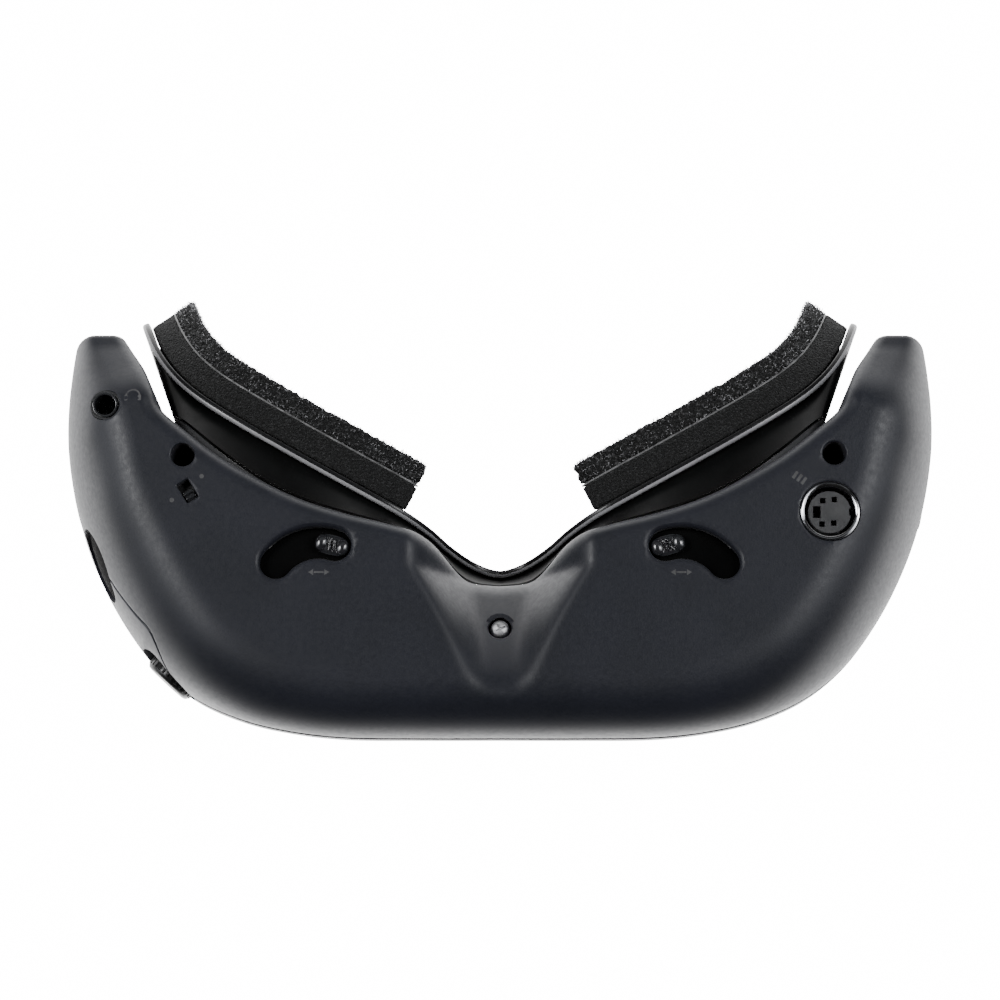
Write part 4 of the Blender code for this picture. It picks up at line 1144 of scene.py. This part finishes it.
def make_optics(side, word):
    """The carriage with its tube, the lug and column that ride on the rods, and the lens."""
    x, z = side * EYE_X, EYE_HEIGHT
    rear = Matrix.Translation((x, 0.0, z)) @ Matrix.Rotation(-math.pi / 2, 4, "X")
    bore = ((10.4, 6.2), (9.7, 6.0), (9.7, 5.2), (10.4, 5.0), (10.4, 0.9))
    mouth = ((11.0, 0.25), (11.5, 0.05), (11.8, 0.1), (TUBE_RADIUS, 0.5))
    profile = [(10.4, CARRIAGE_FRONT)] + [(radius, CARRIAGE_REAR - deep) for radius, deep in bore + mouth]
    profile += [(TUBE_RADIUS, CARRIAGE_FRONT + 0.3), (TUBE_RADIUS - 0.3, CARRIAGE_FRONT)]
    tube = turned("tube", profile, INNER, rear, 96, closed=True)
    lug = box("lug", (x - 4, -19.0, z + 11.2), (x + 4, -13.0, z + ROD_RISE + 2.6), INNER, 0.5)
    column = box("column", (x - 4, -19.0, 7.0), (x + 4, CARRIAGE_REAR - 0.2, z - 11.0), INNER, 0.4)
    pin_x = side * (LEVER_X - EYE_TRAVEL / 2)
    cut(column, box("slot", (pin_x - 1.15, -14.2, 5.0), (pin_x + 1.15, -8.0, 11.2)))
    for post, height in ((lug, z + ROD_RISE), (column, z - ROD_RISE)):
        cut(post, cylinder("hole", (x - 8, ROD_Y, height), (1, 0, 0), ROD_RADIUS + 0.08, 16))
    show(joined(tube, lug, column), f"optics_{word}", f"optic_carriage_{word}", slot="keys")

    front = [(10.1 * part, 2.3 - 1.8 * part**2) for part in steps(0.0, 1.0, 14)]
    back = [(10.1 * part, -2.2 + 0.9 * part**2) for part in steps(1.0, 0.0, 10)]
    place = Matrix.Translation((0.0, CARRIAGE_REAR - 2.8, 0.0)) @ rear
    lens = turned(f"lens_{word}", front + back, LENS, place, 96)
    show(lens, f"optics_{word}", f"eyepiece_lens_{word}", slot="lens")


def make_lever(side, word):
    """The disc with its finger knob, and the crank pin on top that moves the carriage."""
    pivot = (side * LEVER_X, LEVER_Y)
    section = [(1.7, 2.35), (12.5, 2.35), (12.8, 2.6), (12.8, 3.2), (12.5, 3.45), (1.7, 3.45)]
    # The disc is the painted shade black, dark as shade in its slot.
    disc = turned("disc", section, PAINTED_SHADE_BLACK, Matrix.Translation((*pivot, 0.0)), 120, closed=True)
    angle = on_side(side, LEVER_REST)
    middle = polar(pivot, LEVER_RADIUS, angle)
    turn = Matrix.Translation((*middle, 0.0)) @ Matrix.Rotation(angle + math.pi / 2, 4, "Z")
    outline = []
    for bend in steps(0.0, 2 * math.pi, 120)[:-1]:
        u, v = math.cos(bend), math.sin(bend)
        reach = Vector((abs(u) ** KNOB_POWER * KNOB_HALF[0], abs(v) ** KNOB_POWER * KNOB_HALF[1]))
        outline.append((math.copysign(reach.x, u), math.copysign(reach.y, v)))
    rows = [[(*point, z) for point in outline] for z in (2.6, KNOB_FOOT)]
    for scale in steps(0.985, 0.02, 44):
        ring = [(u * scale, v * scale) for u, v in outline]
        rows.append([(u, v, KNOB_FOOT - knob_relief(u, v)) for u, v in ring])
    rows = [[turn @ Vector(point) for point in row] for row in rows]
    knob = loft("knob", rows, KNOB_BLACK, closed=True, ends=True, turn=60.0)
    pin_at = (side * (LEVER_X - EYE_TRAVEL / 2), LEVER_Y + math.cos(LEVER_TURN / 2) * CRANK_RADIUS)
    pin = cylinder("pin", (*pin_at, 3.0), UP, 1.0, 7.4, SATIN, 32, 0.2)
    show(joined(disc, knob, pin), f"ipd_lever_{word}", f"ipd_lever_{word}", slot="keys")


def knob_relief(u, v):
    """How far the finger knob stands out: a round lobe at each end and two slanted ribs between them."""
    reach = math.hypot((abs(u) - 1.95) / 1.12, v / 1.60)
    lobe = 0.95 * math.sqrt(max(0.0, 1.0 - reach * reach))
    rib = 0.0
    for middle in (-0.40, 0.40):
        off = abs(u - middle - 0.22 * v)
        rib = max(rib, 0.75 * (1 - smooth(0.10, 0.26, off)) * (1 - smooth(0.9, 1.4, abs(v))))
    return max(lobe, rib, 0.22 * (1 - smooth(1.2, 1.8, abs(v))))


# Sockets, switch and screws


def make_headphone_jack():
    skin = skin_height(*JACK)
    place = facing_down(JACK, skin + 0.2)
    section = [
        (1.9, -0.5), (2.3, -0.45), (2.72, -0.2), (2.72, -11.0), (0.0, -11.0), (0.0, -8.0), (1.9, -8.0),
    ]
    # The barrel is the painted sheen grey, lighter than its black plastic.
    barrel = turned("barrel", section, PAINTED_SHEEN_GRAY, place, 72, closed=True)
    section = [
        (1.86, -7.0), (1.86, 0.0), (1.94, 0.12), (2.10, 0.16), (2.26, 0.12), (2.32, 0.0), (2.32, -0.6),
        (2.05, -0.7), (2.05, -7.0),
    ]
    ring = turned("ring", section, KNOB_BLACK, place, 72, closed=True)
    x, y = JACK
    # The leaf is the painted shade black, dark as shade inside the jack.
    leaf = box("leaf", (x - 0.4, y + 1.2, skin + 2.0), (x + 0.4, y + 1.7, skin + 5.0), PAINTED_SHADE_BLACK, 0.1)
    show(joined(barrel, ring, leaf), "housing", "headphone_jack", slot="keys")


def make_data_socket():
    section = [
        (4.55, -9.0), (4.55, -0.42), (4.62, -0.18), (4.80, -0.04), (5.05, 0.02), (5.25, -0.05),
        (5.37, -0.2), (5.40, -0.42), (5.40, -9.0),
    ]
    wall = turned("din_shell", section, CHROME, facing_down(DATA_SOCKET, 0.15), 144, closed=True)
    show(wall, "housing", "data_socket_shell", slot="steel")
    x, y = DATA_SOCKET
    core = cylinder("din_core", (x, y, 1.1), UP, 3.85, 7.8, GRAY, 120)
    holes = [(-a - 0.5, b - 0.5, -a + 0.5, b + 0.5) for a, b in PIN_HOLES]
    cutters = [box("hole", (x + x0, y + y0, 0.0), (x + x1, y + y1, 5.0))
               for x0, y0, x1, y1 in holes + [(1.6, -1.1, 3.0, 1.1), (-4.9, -0.65, -3.5, 0.65)]]
    for tilt in (math.radians(52), math.radians(-52)):
        nick = rounded(0.45, 0.55, 0.15, polar((x, y), 4.3, tilt), tilt)
        cutters.append(prism("nick", nick, 0.0, 5.0))
    cut(core, *cutters)
    bevel(core, 0.09, 2)
    show(core, "housing", "data_socket_core", slot="insulator")


def make_mode_switch():
    def piece(name, half_x, half_y, radius, along_slot, low, high, finish, edge):
        middle = polar(MODE_SWITCH, along_slot, MODE_ANGLE)
        outline = rounded(half_x, half_y, radius, middle, MODE_ANGLE, 3)
        return prism(name, outline, low, high, finish, edge=edge)

    rest = -MODE_TRAVEL / 2
    body = piece("switch_can", 3.0, 2.1, 0.3, 0.0, 2.3, 6.0, INNER, 0.15)
    show(body, "housing", "mode_switch_body", slot="steel")
    base = piece("slider", 1.0, 0.95, 0.2, rest, 0.85, 1.95, KNOB_BLACK, 0.12)
    ribs = [
        piece("rib", 0.2, 0.9, 0.15, rest + shift, 0.42, 0.95, KNOB_BLACK, 0.1) for shift in (-0.48, 0.48)
    ]
    show(joined(base, *ribs), "mode_switch_knob", "mode_switch_knob", slot="keys")


def make_screws():
    """Round-head screws with a cross recess; the one under the nose has steel lightened as a painted
    highlight, and the others are the painted shade black.
    """
    dome = [(1.75 * math.sin(a), 1.5 - 1.305 * (1 - math.cos(a))) for a in steps(0.0, math.pi / 2, 12)]
    thread = []
    for turn in range(24):
        height = -0.6 - turn * 0.5
        thread += [(0.98, height), (0.80, height - 0.25)]
    section = dome + [(1.75, 0.0), (0.98, 0.0)] + thread + [(0.0, -13.9)]
    for name, place, depth in SCREWS:
        down = facing_down(place, nose_rise(*place) + depth - 0.2)
        head = turned("head", section, STEEL_PAINTED_HIGHLIGHT if name == "nose" else PAINTED_SHADE_BLACK, down, 48)
        for angle in (25.0, 115.0):
            blade = rounded(1.02, 0.21, 0.08, angle=math.radians(angle), corner=3)
            cut(head, prism("blade", blade, 0.75, 3.0, place=down))
        show(head, "housing", f"case_screw_{name}", slot="steel")


# Keys


def make_keys():
    """The round controls on the left with the cups behind them, and the right's keys and socket."""
    cup = [
        (6.9, -4.0), (7.9, -4.0), (8.0, -4.1), (8.0, -7.5), (7.9, -7.6), (0.0, -7.6), (0.0, -6.4),
        (6.9, -6.4),
    ]
    # The cups are the painted shade black, dark as shade in their wells.
    for name, place in (("side_key_cup", SIDE_KEY), ("menu_stick_cup", MENU_STICK)):
        body = turned(f"{name}_fine", cup, PAINTED_SHADE_BLACK, wall_place(*place), 72, closed=True)
        show(body, "housing", name, slot="shell")
    crown = [(KEY_RADIUS * part * 0.97, -0.5 - 0.45 * part**2) for part in steps(0.0, 1.0, 12)]
    rim = [(KEY_RADIUS * 0.995, -1.15), (KEY_RADIUS, -1.4), (KEY_RADIUS, -3.2)]
    stem = [(2.0, -3.2), (2.0, -5.0), (0.0, -5.0)]
    # The round key is the painted shade black too, dark as shade in its well.
    key = turned("round_key", crown + rim + stem, PAINTED_SHADE_BLACK, wall_place(*SIDE_KEY), 96)
    show(key, "side_key", "side_key", slot="keys")
    place = wall_place(*MENU_STICK)
    dish = [(STICK_RADIUS * part * 0.72, 0.3 + 0.3 * part**2) for part in steps(0.0, 1.0, 10)]
    rim = [
        (4.1, 0.72), (4.45, 0.6), (4.75, 0.25), (4.9, -0.2), (4.9, -1.7), (4.7, -1.9), (2.2, -2.1),
        (2.2, -5.0), (0.0, -5.0),
    ]
    cap = turned("stick_cap", dish + rim, SATIN, place, 96)
    teeth = []
    for angle in steps(0.0, 2 * math.pi, 28)[:-1]:
        tooth = rounded(0.22, 0.26, 0.1, polar((0.0, 0.0), 4.78, angle), angle, 2)
        teeth.append(prism("tooth", tooth, -1.6, 0.05, SATIN, place, edge=0.06))
    show(joined(cap, *teeth), "menu_stick", "menu_stick", slot="keys")
    outline = rounded(1.6, 3.3, 1.5)
    bar = prism("power_bar", outline, -3.0, 0.8, SATIN, key_frame(POWER_KEY), edge=0.35, segments=4)
    show(bar, "power_key", "power_key", slot="keys")
    pin = [(0.0, 0.8), (0.4, 0.78), (0.7, 0.65), (0.86, 0.4), (0.9, 0.1), (0.9, -3.0), (0.0, -3.0)]
    show(turned("menu_pin", pin, SATIN, wall_place(*MENU_KEY), 48), "menu_key", "menu_key", slot="keys")
    barrel = [
        (1.9, -8.0), (1.9, -0.25), (2.05, -0.1), (2.7, -0.1), (2.9, -0.3), (2.9, -11.0), (0.0, -11.0),
        (0.0, -8.0),
    ]
    jack = turned("power_jack", barrel, SATIN, wall_place(*POWER_SOCKET), 72, closed=True)
    show(jack, "housing", "power_socket", slot="keys")


# Printed marks


def mark(name, outline, lift=0.005):
    """A thin printed patch that follows the skin."""
    bm = bmesh.new()
    inner, outer = [], []
    for x, y in outline:
        z = skin_height(x, y)
        outer.append(bm.verts.new((x, y, z - lift)))
        inner.append(bm.verts.new((x, y, z + 0.05)))
    count = len(outline)
    for index in range(count):
        after = (index + 1) % count
        bm.faces.new((outer[index], outer[after], inner[after], inner[index]))
    bm.faces.new(outer)
    bm.faces.new(inner)
    bmesh.ops.recalc_face_normals(bm, faces=bm.faces)
    return add_mesh(name, bm, PRINT)


def make_marks():
    patches = []
    phones = (66.6, 20.9)
    patches.append(mark("band", arc_slot(phones, 1.25, 0.3, math.radians(10), math.radians(170), 12, 6)))
    for side in (1, -1):
        ear = (phones[0] + side * 1.25, phones[1] - 0.35)
        patches.append(mark("ear", rounded(0.3, 0.55, 0.2, ear, corner=3)))
        middle = (side * 32.5, -11.7)
        patches.append(mark("bar", rounded(0.9, 0.16, 0.1, middle, corner=2)))
        for end in (1, -1):
            tip = (middle[0] + end * 1.9, middle[1])
            arrow = [tip, (tip[0] - end * 0.9, tip[1] + 0.55), (tip[0] - end * 0.9, tip[1] - 0.55)]
            patches.append(mark("arrow", arrow))
    tilt = math.radians(35.0)
    for index in range(3):
        at = polar((-54.0, 5.6), (index - 1) * 0.95, tilt)
        patches.append(mark("dash", rounded(0.28, 0.75, 0.1, at, tilt, 2)))
    for at in ((53.8, 5.9), (59.1, 1.5)):
        patches.append(mark("dot", circle(at, 0.42, 20)))
    show(joined(*patches), "housing", slot="keys")


# Pieces kept from the CAD model, with their own finish


def finish_cad_nodes():
    finishes = {"main_board": BOARD, "receiver_module": STEEL, "rod_lower": CHROME, "rod_upper": CHROME}
    for word in ("left", "right"):
        finishes[f"display_board_{word}"] = BOARD
        finishes[f"display_panel_{word}"] = SCREEN
        finishes[f"rod_bracket_{word}"] = INNER
    for name, finish in finishes.items():
        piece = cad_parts[name]
        for slot in piece.material_slots:
            slot.link = "OBJECT"
            slot.material = finish


# Studio

WORLD_LIGHT = 2.6
COOL = (0.93, 0.955, 1.0)
BACK_LEAN = 0.25  # how much further the light wraps round the back than the front
BACKDROP_WHITE = 20.0
WHITE = (1.0, 1.0, 1.0)
FLOOR_REACH, FLOOR_Z = 4000.0, -0.05
LIGHTS = (  # name, place in metres, width, height, watts, colour
    ("nadir", (0.0, 0.20, -0.30), 0.5, 0.2, 0.05, COOL),
    ("left_strip", (0.72, 0.0, -0.45), 0.5, 0.9, 2.2, COOL),
    ("right_strip", (-0.66, 0.05, -0.52), 0.5, 0.9, 2.6, COOL),
    ("left_key", (0.58, 0.10, -0.64), 0.3, 0.3, 3.2, WHITE),
    ("right_key", (-0.58, 0.10, -0.68), 0.2, 0.4, 2.2, WHITE),
    ("overhead", (0.1, -0.3, 1.2), 1.2, 1.2, 14.0, WHITE),
)


def area_light(name, place, width, height, power, tint):
    """A rectangular light that faces the goggles."""
    data = bpy.data.lights.new(name, "AREA")
    data.shape = "RECTANGLE"
    data.size, data.size_y = width, height
    data.energy = power
    data.color = tint
    light = bpy.data.objects.new(name, data)
    light.location = place
    light.rotation_euler = (-Vector(place)).to_track_quat("-Z", "Y").to_euler()
    bpy.context.scene.collection.objects.link(light)


def make_floor():
    """A pale floor that the camera sees through from below."""
    bm = bmesh.new()
    corners = ((-1, -1), (1, -1), (1, 1), (-1, 1))
    bm.faces.new([bm.verts.new((x * FLOOR_REACH, y * FLOOR_REACH, FLOOR_Z)) for x, y in corners])
    finish, shader = material("pale_floor", (0.80, 0.80, 0.79), 0.7)
    tree = finish.node_tree
    tree.links.new(ramp(tree, noise(tree, 60.0, 3.0), 0.3, 0.7, 0.78, 0.82), shader.inputs["Base Color"])
    seen = node(tree, "LightPath").outputs["Is Camera Ray"]
    below = node(tree, "NewGeometry").outputs["Backfacing"]
    above = node(tree, "Math", seen, below, operation="SUBTRACT", use_clamp=True)
    clear = node(tree, "BsdfTransparent")
    blend = node(tree, "MixShader", above.outputs[0], clear.outputs[0], shader.outputs[0])
    tree.links.new(blend.outputs[0], tree.nodes["Material Output"].inputs["Surface"])
    floor = add_mesh("floor", bm, finish)


def make_world():
    """Light from above that fades out under the horizon, and plain white where the camera looks."""
    world = bpy.data.worlds.new("studio")
    bpy.context.scene.world = world
    world.use_nodes = True
    tree = world.node_tree
    direction = node(tree, "TexCoord").outputs["Generated"]
    rise = node(tree, "VectorMath", direction, operation="DOT_PRODUCT")
    rise.inputs[1].default_value = (0.0, BACK_LEAN, 1.0)
    shade = node(
        tree, "MapRange", rise.outputs["Value"], interpolation_type="SMOOTHSTEP", From_Min=-0.1,
        From_Max=0.5, To_Min=0.004, To_Max=1.0,
    )
    lit = tree.nodes["Background"]
    tree.links.new(shade.outputs["Result"], lit.inputs["Color"])
    lit.inputs["Strength"].default_value = WORLD_LIGHT
    white = node(tree, "Background", Strength=BACKDROP_WHITE)
    seen = node(tree, "LightPath").outputs["Is Camera Ray"]
    blend = node(tree, "MixShader", seen, lit.outputs[0], white.outputs[0])
    tree.links.new(blend.outputs[0], tree.nodes["World Output"].inputs["Surface"])


def make_camera():
    tilt = math.radians(12.0)
    distance, target = 600.0, Vector((0.0, 1.5 - MIDDLE_Y, 0.0))
    ahead = Vector((0.0, math.sin(tilt), math.cos(tilt)))
    up = Vector((0.0, math.cos(tilt), -math.sin(tilt)))
    right = Vector((-1.0, 0.0, 0.0))
    data = bpy.data.cameras.new("camera")
    data.lens = 120.0
    data.sensor_width = 36.0
    data.clip_start = 0.01
    camera = bpy.data.objects.new("camera", data)
    turn = Matrix((right, up, -ahead)).transposed().to_4x4()
    camera.matrix_world = Matrix.Translation((target - ahead * distance) * MM) @ turn
    bpy.context.scene.collection.objects.link(camera)
    bpy.context.scene.camera = camera


make_camera()
make_world()
make_floor()
for light_values in LIGHTS:
    area_light(*light_values)

make_bottom_shell()
make_top_shell()
make_front_cover()
make_eyepiece_frame()
make_faceplate()
make_pads()
for hand, called in ((1, "left"), (-1, "right")):
    make_optics(hand, called)
    make_lever(hand, called)
make_headphone_jack()
make_data_socket()
make_mode_switch()
make_screws()
make_keys()
make_marks()
finish_cad_nodes()
